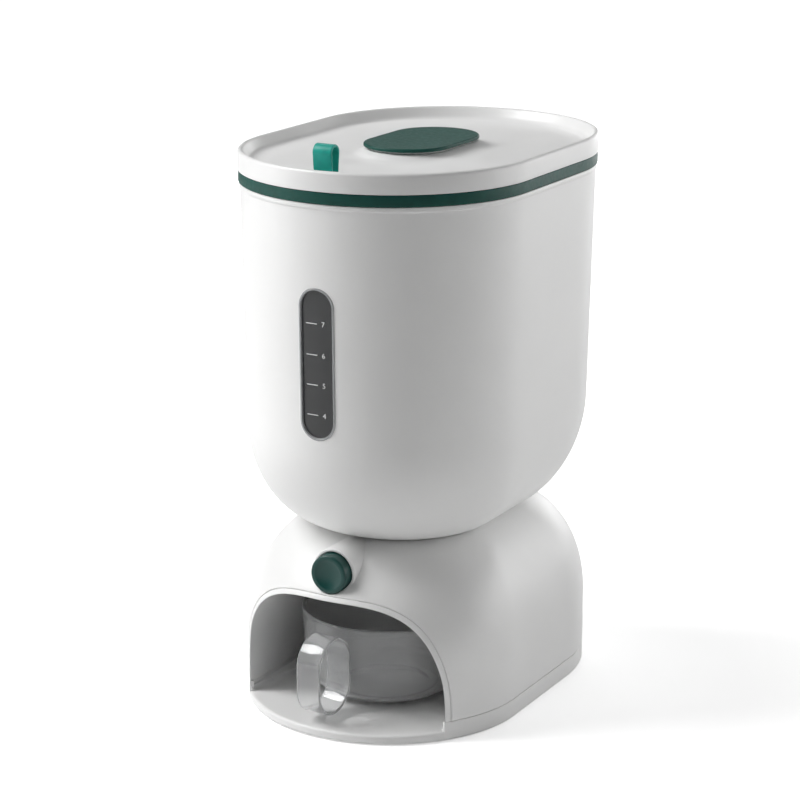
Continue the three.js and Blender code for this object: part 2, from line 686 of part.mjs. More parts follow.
function lidShell() {
  const r = LID_HALF_WIDTH;
  const top = loft([
    oval(LID_BOTTOM, r), oval(LID_TOP - 2.6, r), oval(LID_TOP - 0.8, r, 0.7), oval(LID_TOP, r, 1.8),
    oval(LID_TOP, r, 3), oval(LID_TOP - 1.3, r, 4.2), oval(LID_FLOOR + 1.6, r, 8.5),
    oval(LID_FLOOR + 0.2, r, 11.5), oval(LID_FLOOR, r, 14),
    padLevel(LID_FLOOR, 15), padLevel(LID_FLOOR + 1.2, 6), padLevel(LID_BOSS_TOP, -PAD_OVERHANG),
  ]);
  const under = loft([
    oval(LID_BOTTOM - 1, r, LID_WALL), oval(LID_BOTTOM + 2, r, LID_WALL),
    oval(LID_FLOOR - LID_WALL, r, 13.5), padLevel(LID_FLOOR - LID_WALL, 13),
    padLevel(LID_BOSS_TOP - LID_WALL, -PAD_OVERHANG - 1),
  ]);
  const pocket = loft([pocketLevel(0, 0), pocketLevel(FAR * 2, 0)]);
  return cut(top, under, pocket);
}

function lidPlate() {
  const top = LID_BOTTOM - SEAM;
  const radius = SEAL_RING_INNER - SEAM;
  const inset = LID_HALF_WIDTH - radius;
  const plate = loft([oval(top - LID_PLATE_THICKNESS, LID_HALF_WIDTH, inset), oval(top, LID_HALF_WIDTH, inset)]);
  return plate.subtract(loft([pocketLevel(0, -SEAM), pocketLevel(FAR * 2, -SEAM)]));
}

function lidSeal() {
  const r = LID_HALF_WIDTH;
  const band = 0.4;
  const plug = LID_HALF_WIDTH - (TANK_RIM_RADIUS - WALL - SEAL_PLUG_GAP);
  const inner = LID_HALF_WIDTH - SEAL_RING_INNER;
  return loft([
    oval(SEAL_BOTTOM, r, plug), oval(SEAL_BOTTOM, r, band), oval(SEAL_BOTTOM + BAND_HEIGHT, r, band),
    oval(SEAL_BOTTOM + BAND_HEIGHT, r, inner), oval(SEAL_BOTTOM - SEAL_PLUG_DEPTH, r, inner),
    oval(SEAL_BOTTOM - SEAL_PLUG_DEPTH, r, plug + 0.6),
  ], true);
}

function absorberTub() {
  const bottom = TUB_TOP - TUB_FLANGE - TUB_DEPTH;
  const body = loft([pocketLevel(bottom, SEAM), pocketLevel(TUB_TOP, SEAM)]);
  const flange = loft([pocketLevel(TUB_TOP - TUB_FLANGE, -3), pocketLevel(TUB_TOP, -3)]);
  const hollow = loft([pocketLevel(bottom + TUB_WALL, SEAM + TUB_WALL), pocketLevel(FAR * 2, SEAM + TUB_WALL)]);
  const vent = loft([pocketLevel(0, TUB_WALL + TUB_LEDGE), pocketLevel(FAR * 2, TUB_WALL + TUB_LEDGE)]);
  return cut(body.add(flange), hollow, vent);
}

function grilleBottom() {
  return TUB_TOP - TUB_FLANGE - TUB_DEPTH + TUB_WALL + SEAM;
}

function absorberGrille() {
  const z = grilleBottom();
  const inset = TUB_WALL + 2 * SEAM;
  const plate = loft([pocketLevel(z, inset), pocketLevel(z + GRILLE_THICKNESS, inset)]);
  const slots = [];
  for (let i = 0; i < GRILLE_SLOTS; i += 1) {
    const y = (i - (GRILLE_SLOTS - 1) / 2) * GRILLE_PITCH;
    const reach = Math.min(20, POCKET_HALF_LENGTH - Math.abs(y) - 4);
    slots.push(box(-reach, reach, y - GRILLE_SLOT_WIDTH / 2, y + GRILLE_SLOT_WIDTH / 2, 0, FAR * 2));
  }
  return cut(plate, ...slots);
}

function desiccantPack() {
  const z = grilleBottom() + GRILLE_THICKNESS + SEAM;
  const inset = TUB_WALL + 1.5;
  return loft([
    pocketLevel(z, inset + 3), pocketLevel(z + 2, inset), pocketLevel(z + PACK_HEIGHT - 2, inset),
    pocketLevel(z + PACK_HEIGHT, inset + 3),
  ]);
}

function absorberCap() {
  const plug = TUB_WALL + RUNNING;
  return loft([
    pocketLevel(PAD_BOTTOM - PAD_PLUG_HEIGHT, plug), pocketLevel(PAD_BOTTOM, plug),
    padLevel(PAD_BOTTOM, -0.6), padLevel(PAD_BOTTOM + 0.8, 0), padLevel(PAD_TOP - 0.9, 0),
    padLevel(PAD_TOP - 0.2, -0.9), padLevel(PAD_TOP, -2.4),
  ]);
}

function pullTab() {
  const halfHeight = TAB_HEIGHT / 2;
  const shape = ovalShape(TAB_DEPTH / 2, halfHeight);
  shape.holes.push(ovalShape(TAB_DEPTH / 2 - TAB_STRAP, halfHeight - TAB_STRAP));
  const geometry = new THREE.ExtrudeGeometry(shape, { depth: TAB_WIDTH, bevelEnabled: false, curveSegments: 10 });
  geometry.rotateX(Math.PI / 2);
  geometry.rotateZ(Math.PI / 2);
  geometry.translate(-TAB_WIDTH / 2, 0, 0);
  return toSolid(geometry);
}

// ---- measuring cup, about its own axis, standing on z = 0 with the handle towards -Y ----
function cupProfile(inset) {
  const points = [];
  const bellyX = CUP_BELLY_RADIUS - CUP_FOOT_RADIUS;
  const bellyZ = CUP_BELLY_HEIGHT - CUP_FOOT_HEIGHT;
  for (let i = 0; i <= 6; i += 1) {
    const angle = -Math.PI / 2 * (1 - i / 6);
    const x = CUP_FOOT_RADIUS + (bellyX - inset) * Math.cos(angle);
    points.push([x, CUP_BELLY_HEIGHT + (bellyZ - inset) * Math.sin(angle)]);
  }
  points.push([CUP_RIM_RADIUS - inset, CUP_HEIGHT]);
  return points;
}

function measuringCup() {
  const outside = [[0, 0], [CUP_FOOT_RADIUS - 0.8, 0], ...cupProfile(0)];
  const inside = cupProfile(CUP_WALL).reverse();
  const bowl = turned([...outside, ...inside, [0, CUP_FOOT_HEIGHT + CUP_WALL]], 32);
  const halfReach = HANDLE_REACH / 2;
  const halfHeight = HANDLE_HEIGHT / 2;
  const near = CUP_RIM_RADIUS - CUP_WALL + 0.3;
  const shape = ovalShape(halfReach, halfHeight);
  shape.holes.push(ovalShape(halfReach - HANDLE_STRAP, halfHeight - HANDLE_STRAP));
  const geometry = new THREE.ExtrudeGeometry(shape, {
    depth: HANDLE_WIDTH, bevelEnabled: false, curveSegments: 10,
  });
  geometry.rotateX(Math.PI / 2);
  geometry.rotateZ(Math.PI / 2);
  const z = CUP_HEIGHT - HANDLE_BELOW_RIM - halfHeight;
  geometry.translate(-HANDLE_WIDTH / 2, -near - halfReach, z);
  return bowl.add(toSolid(geometry));
}

// ---- assembly ----
const dispenser = new THREE.Group();
dispenser.name = 'cereal_dispenser';

function add(name, material, solid, x = 0, y = 0, z = 0) {
  const mesh = new THREE.Mesh(toGeometry(solid), material);
  mesh.name = name;
  mesh.position.set(x, y, z);
  dispenser.add(mesh);
  return mesh;
}

add('base_tray', whitePlastic, baseTray());
add('arch_liner', whitePlastic, archLiner());
add('base_cover', whitePlastic, baseCover());
add('neck_gasket', darkRubber, neckGasket());
add('tank', whitePlastic, tank());
add('window_lens', greyGlass, windowLens());
add('hopper_funnel', innerPlastic, hopperFunnel());
add('valve_upper_plate', innerPlastic, valveUpper());
add('valve_lower_plate', innerPlastic, valveLower());
add('gate_seal', darkRubber, gateSeal());
add('gate_plate', innerPlastic, gatePlate());
add('chute', innerPlastic, chute());
add('button_cap', greenRubber, buttonCap());
add('push_rod', innerPlastic, pushRod());
add('rod_guide', innerPlastic, rodGuide());
add('return_spring', steel, returnSpring());
add('lid_shell', whitePlastic, lidShell());
add('lid_plate', whitePlastic, lidPlate());
add('lid_seal', greenRubber, lidSeal());
add('pull_tab', brightSilicone, pullTab(), 0, TAB_Y, LID_FLOOR + SEAM + TAB_HEIGHT / 2);
add('absorber_tub', innerPlastic, absorberTub());
add('absorber_grille', innerPlastic, absorberGrille());
add('desiccant_pack', paper, desiccantPack());
add('absorber_cap', greenRubber, absorberCap());

const cup = add('measuring_cup', clearPlastic, measuringCup(), 0, CUP_CENTRE_Y, CUP_BOTTOM);
cup.rotation.z = -CUP_TURN;

const gateScrew = add('gate_screw', steel, screw(8), 0, gateScrewY(), 0);
gateScrew.position.z = GATE_TOP + SEAM + ROD_TONGUE_THICKNESS + SEAM + SCREW_HEAD_HEIGHT;
gateScrew.rotation.x = Math.PI;

[[1, 1], [-1, 1], [-1, -1], [1, -1]].forEach(([sx, sy], i) => {
  add(`foot_${i + 1}`, darkRubber, foot(), sx * FOOT_X, sy * FOOT_Y, 0);
});

screwPosts().forEach(([x, y], i) => {
  add(`base_screw_${i + 1}`, steel, screw(16), x, y, FLOOR_UNDERSIDE - SEAM - SCREW_HEAD_HEIGHT);
});

valveScrewPlaces().forEach(([x, y], i) => {
  add(`valve_screw_${i + 1}`, steel, screw(15), x, y, VALVE_LOWER_BOTTOM - SEAM - SCREW_HEAD_HEIGHT);
});

export default dispenser;
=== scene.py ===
"""Looks of the cereal dispenser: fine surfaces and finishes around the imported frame, in metres, +Z up."""
import json

import bmesh
import bpy
import numpy as np
from bpy.props import FloatProperty, FloatVectorProperty, PointerProperty
from mathutils import Matrix, Vector


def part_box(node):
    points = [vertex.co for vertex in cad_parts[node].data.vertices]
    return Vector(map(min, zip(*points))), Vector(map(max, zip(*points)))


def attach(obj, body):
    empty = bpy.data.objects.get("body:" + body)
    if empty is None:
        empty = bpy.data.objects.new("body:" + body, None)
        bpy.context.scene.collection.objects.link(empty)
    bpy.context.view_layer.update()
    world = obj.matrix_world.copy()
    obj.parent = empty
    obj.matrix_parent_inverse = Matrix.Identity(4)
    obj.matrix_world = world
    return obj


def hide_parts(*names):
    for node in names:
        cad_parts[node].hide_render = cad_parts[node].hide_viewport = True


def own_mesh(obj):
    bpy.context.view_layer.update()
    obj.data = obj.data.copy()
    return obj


bl_info = {
    "name": "Cereal Dispenser",
    "version": (1, 0, 0),
    "blender": (4, 5, 0),
    "location": "3D View > Sidebar > Dispenser",
    "description": "Builds the surfaces, finishes and studio of an oval grain dispenser",
    "category": "Add Mesh",
}

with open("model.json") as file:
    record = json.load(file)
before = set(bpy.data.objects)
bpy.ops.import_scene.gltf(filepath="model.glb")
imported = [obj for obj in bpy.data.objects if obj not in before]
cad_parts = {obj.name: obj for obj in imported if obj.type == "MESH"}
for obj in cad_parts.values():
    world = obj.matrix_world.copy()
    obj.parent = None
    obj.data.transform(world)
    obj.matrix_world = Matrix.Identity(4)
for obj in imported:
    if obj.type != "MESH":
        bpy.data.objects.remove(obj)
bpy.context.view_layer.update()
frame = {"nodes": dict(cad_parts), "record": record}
MM = 0.001


def cad(node):
    """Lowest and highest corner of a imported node, in millimetres."""
    low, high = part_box(node)
    return np.array(low) / MM, np.array(high) / MM


# ---- sizes read from the frame ----
LID_LOW, LID_HIGH = cad("lid_shell")
TRAY_HIGH = cad("base_tray")[1]
TANK_LOW, TANK_HIGH = cad("tank")
SEAL_LOW, SEAL_HIGH = cad("lid_seal")
BUTTON_LOW, BUTTON_HIGH = cad("button_cap")
PAD_LOW, PAD_HIGH = cad("absorber_cap")
TAB_LOW, TAB_HIGH = cad("pull_tab")
CUP_LOW, CUP_HIGH = cad("measuring_cup")
GASKET_LOW, GASKET_HIGH = cad("neck_gasket")
HOPPER_LOW, HOPPER_HIGH = cad("hopper_funnel")
SPRING_LOW, SPRING_HIGH = cad("return_spring")
PLATE_LOW, PLATE_HIGH = cad("lid_plate")

LID_RADIUS = LID_HIGH[0]
STRAIGHT = LID_HIGH[1] / LID_RADIUS - 1  # half of an oval's straight side, per radius
BASE_RADIUS = TRAY_HIGH[0]
TRAY_TOP = TRAY_HIGH[2]
TANK_TOP = TANK_HIGH[2]
TANK_BOTTOM = TANK_LOW[2]
BUTTON_Z = (BUTTON_LOW[2] + BUTTON_HIGH[2]) / 2
BUTTON_RADIUS = BUTTON_HIGH[0]
BUTTON_FACE_Y = BUTTON_LOW[1]
CUP_BOTTOM = CUP_LOW[2]
CUP_HEIGHT = CUP_HIGH[2] - CUP_LOW[2]

# ---- sizes of the curved forms ----
WALL = 3.0
FLOOR_TOP = 8.0
SEAM = 0.3
COVER_TOP = 136.6
COVER_END = 138.25  # both sides of the neck run on to a thin crease
TANK_END = 138.55
COVER_SHOULDER = 56.7
COVER_CURVE = 51.5
COVER_RISE = 83.5
TANK_RIM_RADIUS = 108.75
TANK_FOOT_RADIUS = 106.1
TANK_SHOULDER = 220.5
TANK_CURVE = 53.2
TANK_FALL = 84.7
RIM_BEAD = 0.6
NECK_INNER = 60.4
NECK_RING_RADIUS = 65.2
TANK_LIP = 65.4  # inner edge of the tank's thin lip at the neck
COVER_LIP = 65.6  # and of the cover's
ARCH_HALF_WIDTH = 83.0
ARCH_HEIGHT = 94.2  # above the floor
ARCH_SIDE_POWER = 3.2
ARCH_TOP_POWER = 3.0
BEZEL_SIDE = 2.9
BEZEL_TOP = 3.6
BAY_BACK = 20.0
BAY_CORNER = 45.0
CUP_CENTRE = -52.0
RECESS_RADIUS = 66.6
RECESS_FLARE = np.radians(12.4)
LEDGE_TOP = 12.2
BAY_SHARPNESS = 28
BOSS_FACE_Y = -131.5
BOSS_END_Y = -103.0
BORE_RADIUS = BUTTON_RADIUS + 0.5
BOSS_RADIUS = BORE_RADIUS + 2.4
WINDOW_RADIUS = 13.6
WINDOW_BOTTOM = 226.6
WINDOW_TOP = 336.4
CUP_RIM_RADIUS = 64.0
CUP_BELLY_RADIUS = 61.5
CUP_FOOT_RADIUS = 40.0
CUP_BELLY_HEIGHT = 26.7
CUP_FOOT_HEIGHT = 1.7
CUP_WALL = 2.4
CUP_TURN = np.radians(-5.0)
HANDLE_REACH = 41.0
HANDLE_HEIGHT = 59.0
HANDLE_WIDTH = 20.0
HANDLE_STRAP = 2.5
HANDLE_BELOW_RIM = 1.2
LID_FLOOR = LID_HIGH[2] - 9.1
LID_WALL = 2.8
PAD_RADIUS = PAD_HIGH[0]
PAD_STRAIGHT = PAD_HIGH[1] - PAD_HIGH[0]
POCKET_RADIUS = PAD_RADIUS - 6
TAB_STRAP = 2.0
SPRING_TURNS = 5
SPRING_WIRE = 1.2

# ---- studio: lengths in metres, angles in degrees, power in watts ----
CAMERA_BEARING = 28.56
CAMERA_RISE = 15.30
CAMERA_ROLL = 0.23
CAMERA_PLACE = (0.8842, -1.6566, 0.7331)
CAMERA_LENS = 115.7  # millimetres, on a 36 mm sensor
LIGHT_DISTANCE = 2.6
LIGHT_SIZE = 1.3
LIGHT_CENTRE = (0.0, 0.0, 0.22)
KEY_POWER = 60.0
FLOOR_GLOW = 0.5


# ---- sizes and colours a user may change ----
class DispenserSizes(bpy.types.PropertyGroup):
    """Small sizes of the visible surfaces."""

    window_recess: FloatProperty(
        name="Window recess", description="Depth of the pane below the tank's wall",
        default=0.0012, min=0.0, max=0.003, unit="LENGTH")
    window_border: FloatProperty(
        name="Window border", description="Height of the clear border above the tank's wall",
        default=0.0006, min=0.0, max=0.002, unit="LENGTH")
    pad_crown: FloatProperty(
        name="Pad crown", description="Rise of the absorber pad from its edge to its middle",
        default=0.0005, min=0.0, max=0.002, unit="LENGTH")
    button_dish: FloatProperty(
        name="Button dish", description="Depth of the hollow in the button's face",
        default=0.0016, min=0.0, max=0.003, unit="LENGTH")


class DispenserColours(bpy.types.PropertyGroup):
    """Colours of the main finishes."""

    body: FloatVectorProperty(
        name="Body", description="Satin white of the tank, base and lid",
        default=(0.83, 0.83, 0.825), subtype="COLOR", size=3, min=0.0, max=1.0)
    button: FloatVectorProperty(
        name="Button", description="Dark green of the push button",
        default=(0.001, 0.05, 0.043), subtype="COLOR", size=3, min=0.0, max=1.0)
    seal: FloatVectorProperty(
        name="Seal", description="Soft green of the lid seal and the absorber pad",
        default=(0.002, 0.062, 0.048), subtype="COLOR", size=3, min=0.0, max=1.0)
    tab: FloatVectorProperty(
        name="Pull tab", description="Bright green of the silicone pull tab",
        default=(0.012, 0.33, 0.27), subtype="COLOR", size=3, min=0.0, max=1.0)
    window: FloatVectorProperty(
        name="Window", description="Smoke grey of the sight window",
        default=(0.09, 0.092, 0.095), subtype="COLOR", size=3, min=0.0, max=1.0)


# ---- meshes ----
def grid_quads(rows, columns, wrap_rows=False, wrap_columns=False):
    """Corner numbers of the quads of a grid of points, row by row, wrapped round where asked."""
    i = np.arange(rows if wrap_rows else rows - 1)[:, None]
    j = np.arange(columns if wrap_columns else columns - 1)[None, :]
    right = (j + 1) % columns
    up = (i + 1) % rows
    quads = np.stack([i * columns + j, i * columns + right, up * columns + right, up * columns + j], -1)
    return quads.reshape(-1, 4)


def fill_mesh(name, points, quads):
    """A mesh from points in millimetres and quads, by whole arrays."""
    mesh = bpy.data.meshes.new(name)
    mesh.vertices.add(len(points))
    mesh.vertices.foreach_set("co", (points * MM).ravel())
    mesh.loops.add(quads.size)
    mesh.loops.foreach_set("vertex_index", quads.ravel().astype(np.int32))
    mesh.polygons.add(len(quads))
    mesh.polygons.foreach_set("loop_start", np.arange(0, quads.size, 4, dtype=np.int32))
    mesh.polygons.foreach_set("loop_total", np.full(len(quads), 4, np.int32))
    mesh.update(calc_edges=True)
    return mesh


def tidy_mesh(mesh, facing=None):
    """Merges points that coincide, so poles and seams close, and turns the faces outward.

    An open sheet's faces look towards the point facing instead.
    """
    work = bmesh.new()
    work.from_mesh(mesh)
    bmesh.ops.remove_doubles(work, verts=work.verts, dist=2e-6)
    bmesh.ops.dissolve_degenerate(work, edges=work.edges, dist=1e-7)
    loose = [v for v in work.verts if not v.link_faces]
    bmesh.ops.delete(work, geom=loose, context="VERTS")
    bmesh.ops.recalc_face_normals(work, faces=work.faces)
    if facing is not None:
        goal = Vector(facing) * MM
        votes = sum(f.normal.dot(goal - f.calc_center_median()) * f.calc_area() for f in work.faces)
        if votes < 0:
            bmesh.ops.reverse_faces(work, faces=work.faces)
    work.to_mesh(mesh)
    work.free()


def build(
        name, points, quads, body, slot, stands_for=(), sharp=32.0, wall=0.0, facing=None, material=None):
    """A smooth-shaded piece that rides on a body, from points in millimetres and quads.

    A wall above zero thickens an open sheet away from the side its faces look to. The finish is the
    slot's own unless a material is given.
    """
    mesh = fill_mesh(name, np.asarray(points, float).reshape(-1, 3), quads)
    tidy_mesh(mesh, facing)
    mesh.shade_smooth()
    mesh.set_sharp_from_angle(angle=np.radians(sharp))
    mesh.materials.append(material or finish(slot))
    return settle(name, mesh, body, stands_for, wall)


def settle(name, mesh, body, stands_for=(), wall=0.0):
    """Puts a finished mesh in the scene as a piece of the object."""
    piece = bpy.data.objects.new(name, mesh)
    bpy.context.scene.collection.objects.link(piece)
    if wall:
        thick = piece.modifiers.new("wall", "SOLIDIFY")
        thick.thickness = wall * MM
        thick.offset = -1.0
    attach(piece, body)
    if stands_for:
        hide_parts(*stands_for)
    return piece


def eased(corners, cuts, steps=5):
    """A polyline whose inner corners become quadratic curves that start and end one cut away."""
    corners = np.asarray(corners, float)
    t = np.linspace(0, 1, steps)[:, None]
    path = [corners[:1]]
    for before, corner, after, cut in zip(corners[:-2], corners[1:-1], corners[2:], cuts):
        if cut == 0:
            path.append(corner[None])
            continue
        start = corner + (before - corner) * (cut / np.linalg.norm(before - corner))
        end = corner + (after - corner) * (cut / np.linalg.norm(after - corner))
        path.append((1 - t) ** 2 * start + 2 * t * (1 - t) * corner + t ** 2 * end)
    path.append(corners[-1:])
    return np.concatenate(path)


def eased_ring(corners, cuts, steps=5):
    """The same for a closed outline: every corner is eased."""
    looped = [corners[-1], *corners, corners[0]]
    return eased(looped, cuts, steps)[1:-1]


def around(share):
    """Turn and straight-side share at a place round an oval: 0 is the front, 1 to 2 the side, 3 the back."""
    a = np.abs(share)
    turn = np.sign(share) * (np.clip(a, 0, 1) + np.clip(a - 2, 0, 1)) * np.pi / 2
    return turn, 2 * np.clip(a - 1, 0, 1) - 1


def full_round(arc=40, side=8):
    """Places all round an oval, from the front by the right side, the back and the left side."""
    half = np.concatenate([
        np.linspace(0, 1, arc, endpoint=False), np.linspace(1, 2, side, endpoint=False),
        np.linspace(2, 3, arc, endpoint=False)])
    return np.concatenate([half, [3.0], -half[:0:-1]])


def oval_points(rows, share):
    """Points x = r sin t, y = -r cos t + s v, z for rows (r, s, z) and places (t, v) round an oval."""
    turn, along = around(share)
    r, s, z = (np.asarray(rows, float)[..., k] for k in range(3))
    if r.ndim == 1:
        r, s, z = r[:, None], s[:, None], z[:, None]
    x = r * np.sin(turn)
    y = -r * np.cos(turn) + s * along
    return np.stack([x, y, np.broadcast_to(z, x.shape)], -1)


def oval_solid(name, rows, body, slot, stands_for=(), ring=True, share=None, **more):
    """A closed piece of oval sections: a ring, or with ring unset a stack closed flat at both ends."""
    rows = np.asarray(rows, float)
    share = full_round() if share is None else share
    if not ring:
        ends = [[1e-4, rows[k][1], rows[k][2]] for k in (0, -1)]
        inner = [[1e-4, 0.0, rows[k][2]] for k in (0, -1)]
        rows = np.concatenate([[inner[0], ends[0]], rows, [ends[1], inner[1]]])
    points = oval_points(rows, share)
    quads = grid_quads(len(rows), len(share), ring, True)
    return build(name, points, quads, body, slot, stands_for, **more)


def turned_points(profile, count=96):
    """Points x = r sin t, y = -r cos t, z: the profile of (radius, height) turned about Z."""
    profile = np.asarray(profile, float)
    rows = np.stack([profile[:, 0], np.zeros(len(profile)), profile[:, 1]], -1)
    share = np.linspace(0, 2, count, endpoint=False)
    turn = share * np.pi
    x = rows[:, :1] * np.sin(turn)
    y = -rows[:, :1] * np.cos(turn)
    return np.stack([x, y, np.broadcast_to(rows[:, 2:], x.shape)], -1)


def strap_points(reach, height, width, thickness, edge=0.8, steps=40):
    """A closed loop of flat strap, upright in the YZ plane.

    A rounded rectangle of width along X is carried round an oval of the given reach and height.
    """
    r = reach / 2 - thickness / 2
    straight = height / 2 - reach / 2
    angle = np.radians(np.concatenate([np.linspace(-90, 90, steps), np.linspace(90, 270, steps)]))
    lift = np.concatenate([np.full(steps, straight), np.full(steps, -straight)])
    w, h = width / 2, thickness / 2
    across = eased_ring([(-w, -h), (w, -h), (w, h), (-w, h)], [edge] * 4, 5)
    out = across[None, :, 1]
    y = (r + out) * np.sin(angle)[:, None]
    z = (r + out) * np.cos(angle)[:, None] + lift[:, None]
    x = np.broadcast_to(across[None, :, 0], y.shape)
    return np.stack([x, y, z], -1)


# ---- forms shared by several pieces ----
def dome(z, inset=0.0):
    """Rows (r, s, z) of the cover at outer height z, drawn in by an inset.

    It is upright, then r = R - a (1 - cos), z = shoulder + h sin.
    """
    z = np.asarray(z, float)
    sine = np.clip((z - COVER_SHOULDER) / COVER_RISE, 0, 0.9995)
    cosine = np.sqrt(1 - sine ** 2)
    r = BASE_RADIUS - COVER_CURVE + (COVER_CURVE - inset) * cosine
    s = STRAIGHT * (BASE_RADIUS - COVER_CURVE * (1 - cosine))
    return np.stack([r, s, z - inset * sine], -1)


def dome_front(x, z, depth=0.0):
    """Y of the cover's front surface at x and z, or of a surface a little way inside it."""
    rows = dome(z)
    return -(rows[..., 1] + np.sqrt(np.clip((rows[..., 0] - depth) ** 2 - x ** 2, 0, None)))


def bowl(turn, inset=0.0):
    """Rows (r, s, z) of the tank's bottom, drawn in: r = R - a (1 - cos), z = shoulder - h sin."""
    c, s = np.cos(turn), np.sin(turn)
    r = TANK_FOOT_RADIUS - TANK_CURVE + (TANK_CURVE - inset) * c
    straight = STRAIGHT * (TANK_FOOT_RADIUS - TANK_CURVE * (1 - c))
    return np.stack([r, straight, TANK_SHOULDER - (TANK_FALL - inset) * s], -1)


def tank_radius(z):
    """Radius of the tank's tapered wall at height z."""
    share = (z - TANK_SHOULDER) / (TANK_TOP - TANK_SHOULDER)
    return TANK_FOOT_RADIUS + (TANK_RIM_RADIUS - TANK_FOOT_RADIUS) * share


def tank_front(x, z, depth=0.0):
    """Y of the tank's front wall at x and z, or of a surface a little way inside it."""
    r = tank_radius(z)
    return -(STRAIGHT * r + np.sqrt(np.clip((r - depth) ** 2 - x ** 2, 0, None)))


def arch_point(turn, grow):
    """X and Z on the arch x = a cos^(2/p), z = h sin^(2/q).

    Grow is 0 at the opening and 1 at the seam.
    """
    a = ARCH_HALF_WIDTH + grow * BEZEL_SIDE
    h = ARCH_HEIGHT + grow * BEZEL_TOP
    c = np.cos(turn)
    x = a * np.sign(c) * np.abs(c) ** (2 / ARCH_SIDE_POWER)
    z = FLOOR_TOP + h * np.clip(np.sin(turn), 0, 1) ** (2 / ARCH_TOP_POWER)
    return x, z


def arch_turns(count, foot):
    """Turns along the arch at even steps of length, from the right foot over the top to the left foot."""
    t = np.linspace(0, np.pi, 8001)
    x, z = arch_point(t, 1.0)
    t = t[z >= foot]
    x, z = arch_point(t, 1.0)
    length = np.concatenate([[0], np.cumsum(np.hypot(np.diff(x), np.diff(z)))])
    return np.interp(np.linspace(0, length[-1], count), length, t)


def bay_half_width(y, limit):
    """Half width of the bay's plan at y: straight sides, round rear corners, and a soft upper limit."""
    corner = np.clip(y - (BAY_BACK - BAY_CORNER), 0, BAY_CORNER)
    plan = ARCH_HALF_WIDTH + 1 - BAY_CORNER + np.sqrt(BAY_CORNER ** 2 - corner ** 2)
    ratio = np.minimum(plan / np.maximum(limit, 1e-3), 1e6)
    return plan * (1 + ratio ** BAY_SHARPNESS) ** (-1 / BAY_SHARPNESS)


def bay_wall(x, z, front_y, steps):
    """Rows from the opening's edge straight back, round the rear corners and in to the middle."""
    v = np.sin(np.linspace(0, np.pi / 2, steps))[:, None]
    y = front_y + (BAY_BACK - front_y) * v
    limit = np.abs(x)
    start = np.maximum(bay_half_width(front_y, limit), 1e-6)
    ease = 1 + (limit / start - 1) * np.exp(-(y - front_y) / 8)
    across = np.sign(x) * bay_half_width(y, limit) * ease
    across = np.concatenate([across, across[-1:] * np.linspace(0.9, 0, 9)[:, None]])
    y = np.concatenate([y, np.broadcast_to(y[-1:], (9, y.shape[1]))])
    return np.stack([across, y, np.broadcast_to(z, y.shape)], -1)


def recess_line(front_y, count):
    """Half plan of the tray's recess: a flared side from the front, then an arc round to the middle."""
    touch = np.array([np.cos(RECESS_FLARE), np.sin(RECESS_FLARE)]) * RECESS_RADIUS + (0, CUP_CENTRE)
    begin = np.array([touch[0] + (touch[1] - front_y) * np.tan(RECESS_FLARE), front_y])
    turn = np.linspace(RECESS_FLARE, np.pi / 2, 60)
    arc = np.column_stack([RECESS_RADIUS * np.cos(turn), CUP_CENTRE + RECESS_RADIUS * np.sin(turn)])
    return even_steps(np.concatenate([[begin], arc]), count)


def even_steps(path, count):
    """Points at even steps of length along a flat path."""
    length = np.concatenate([[0], np.cumsum(np.linalg.norm(np.diff(path, axis=0), axis=1))])
    place = np.linspace(0, length[-1], count)
    return np.column_stack([np.interp(place, length, path[:, k]) for k in (0, 1)])


def pierce(points, low, high, radius, surface):
    """Moves points that lie in an upright oval hole out to its edge, on their own surface.

    The hole's middle line runs from low to high at x = 0. It returns the points and, for each, its
    distance from that line as a share of the hole's radius.
    """
    x, z = points[..., 0], points[..., 2]
    line = np.clip(z, low, high)
    share = np.where(points[..., 1] < 0, np.hypot(x, z - line) / radius, 9.0)
    inside = share < 1
    push = np.where(inside, 1 / np.maximum(share, 1e-3), 1.0)
    moved = points.copy()
    moved[..., 0] = x * push
    moved[..., 2] = np.where(inside, line + (z - line) * push, z)
    moved[..., 1] = np.where(inside, surface(moved[..., 0], moved[..., 2]), points[..., 1])
    return moved, share


def follow_hole(inner, outer, share, surface):
    """Gives the inner skin's points at a hole the same x and z as the outer skin's."""
    inside = share < 1
    moved = inner.copy()
    for axis in (0, 2):
        moved[..., axis] = np.where(inside, outer[..., axis], inner[..., axis])
    moved[..., 1] = np.where(inside, surface(moved[..., 0], moved[..., 2]), inner[..., 1])
    return moved


def holed_shell(outer, inner, share, top, bottom):
    """Points and quads of a closed wall: two skins, a top and a bottom strip, and a hole with its edge.

    Cells whose corners all lie in the hole are left out, and quads join the two skins round it.
    """
    rows, columns = outer.shape[:2]
    stack = np.concatenate([outer, top, inner[::-1], bottom])
    count = len(stack)
    quads = grid_quads(count, columns, True, True).reshape(count, columns, 4)
    inside = share < 1.0005
    beside = np.roll(inside, -1, 1)
    gone = inside[:-1] & inside[1:] & beside[:-1] & beside[1:]
    keep = np.ones((count, columns), bool)
    keep[:rows - 1] = ~gone
    first = rows + len(top)
    keep[first:first + rows - 1] = ~gone[::-1]
    mirror = first + rows - 1 - np.arange(rows)
    k, j = np.nonzero(gone != np.roll(gone, -1, 1))
    j = (j + 1) % columns
    upright = np.stack([
        k * columns + j, (k + 1) * columns + j, mirror[k + 1] * columns + j, mirror[k] * columns + j], -1)
    k, j = np.nonzero(gone[:-1] != gone[1:])
    k = k + 1
    right = (j + 1) % columns
    level = np.stack([
        k * columns + j, k * columns + right, mirror[k] * columns + right, mirror[k] * columns + j], -1)
    return stack, np.concatenate([quads[keep], upright, level])


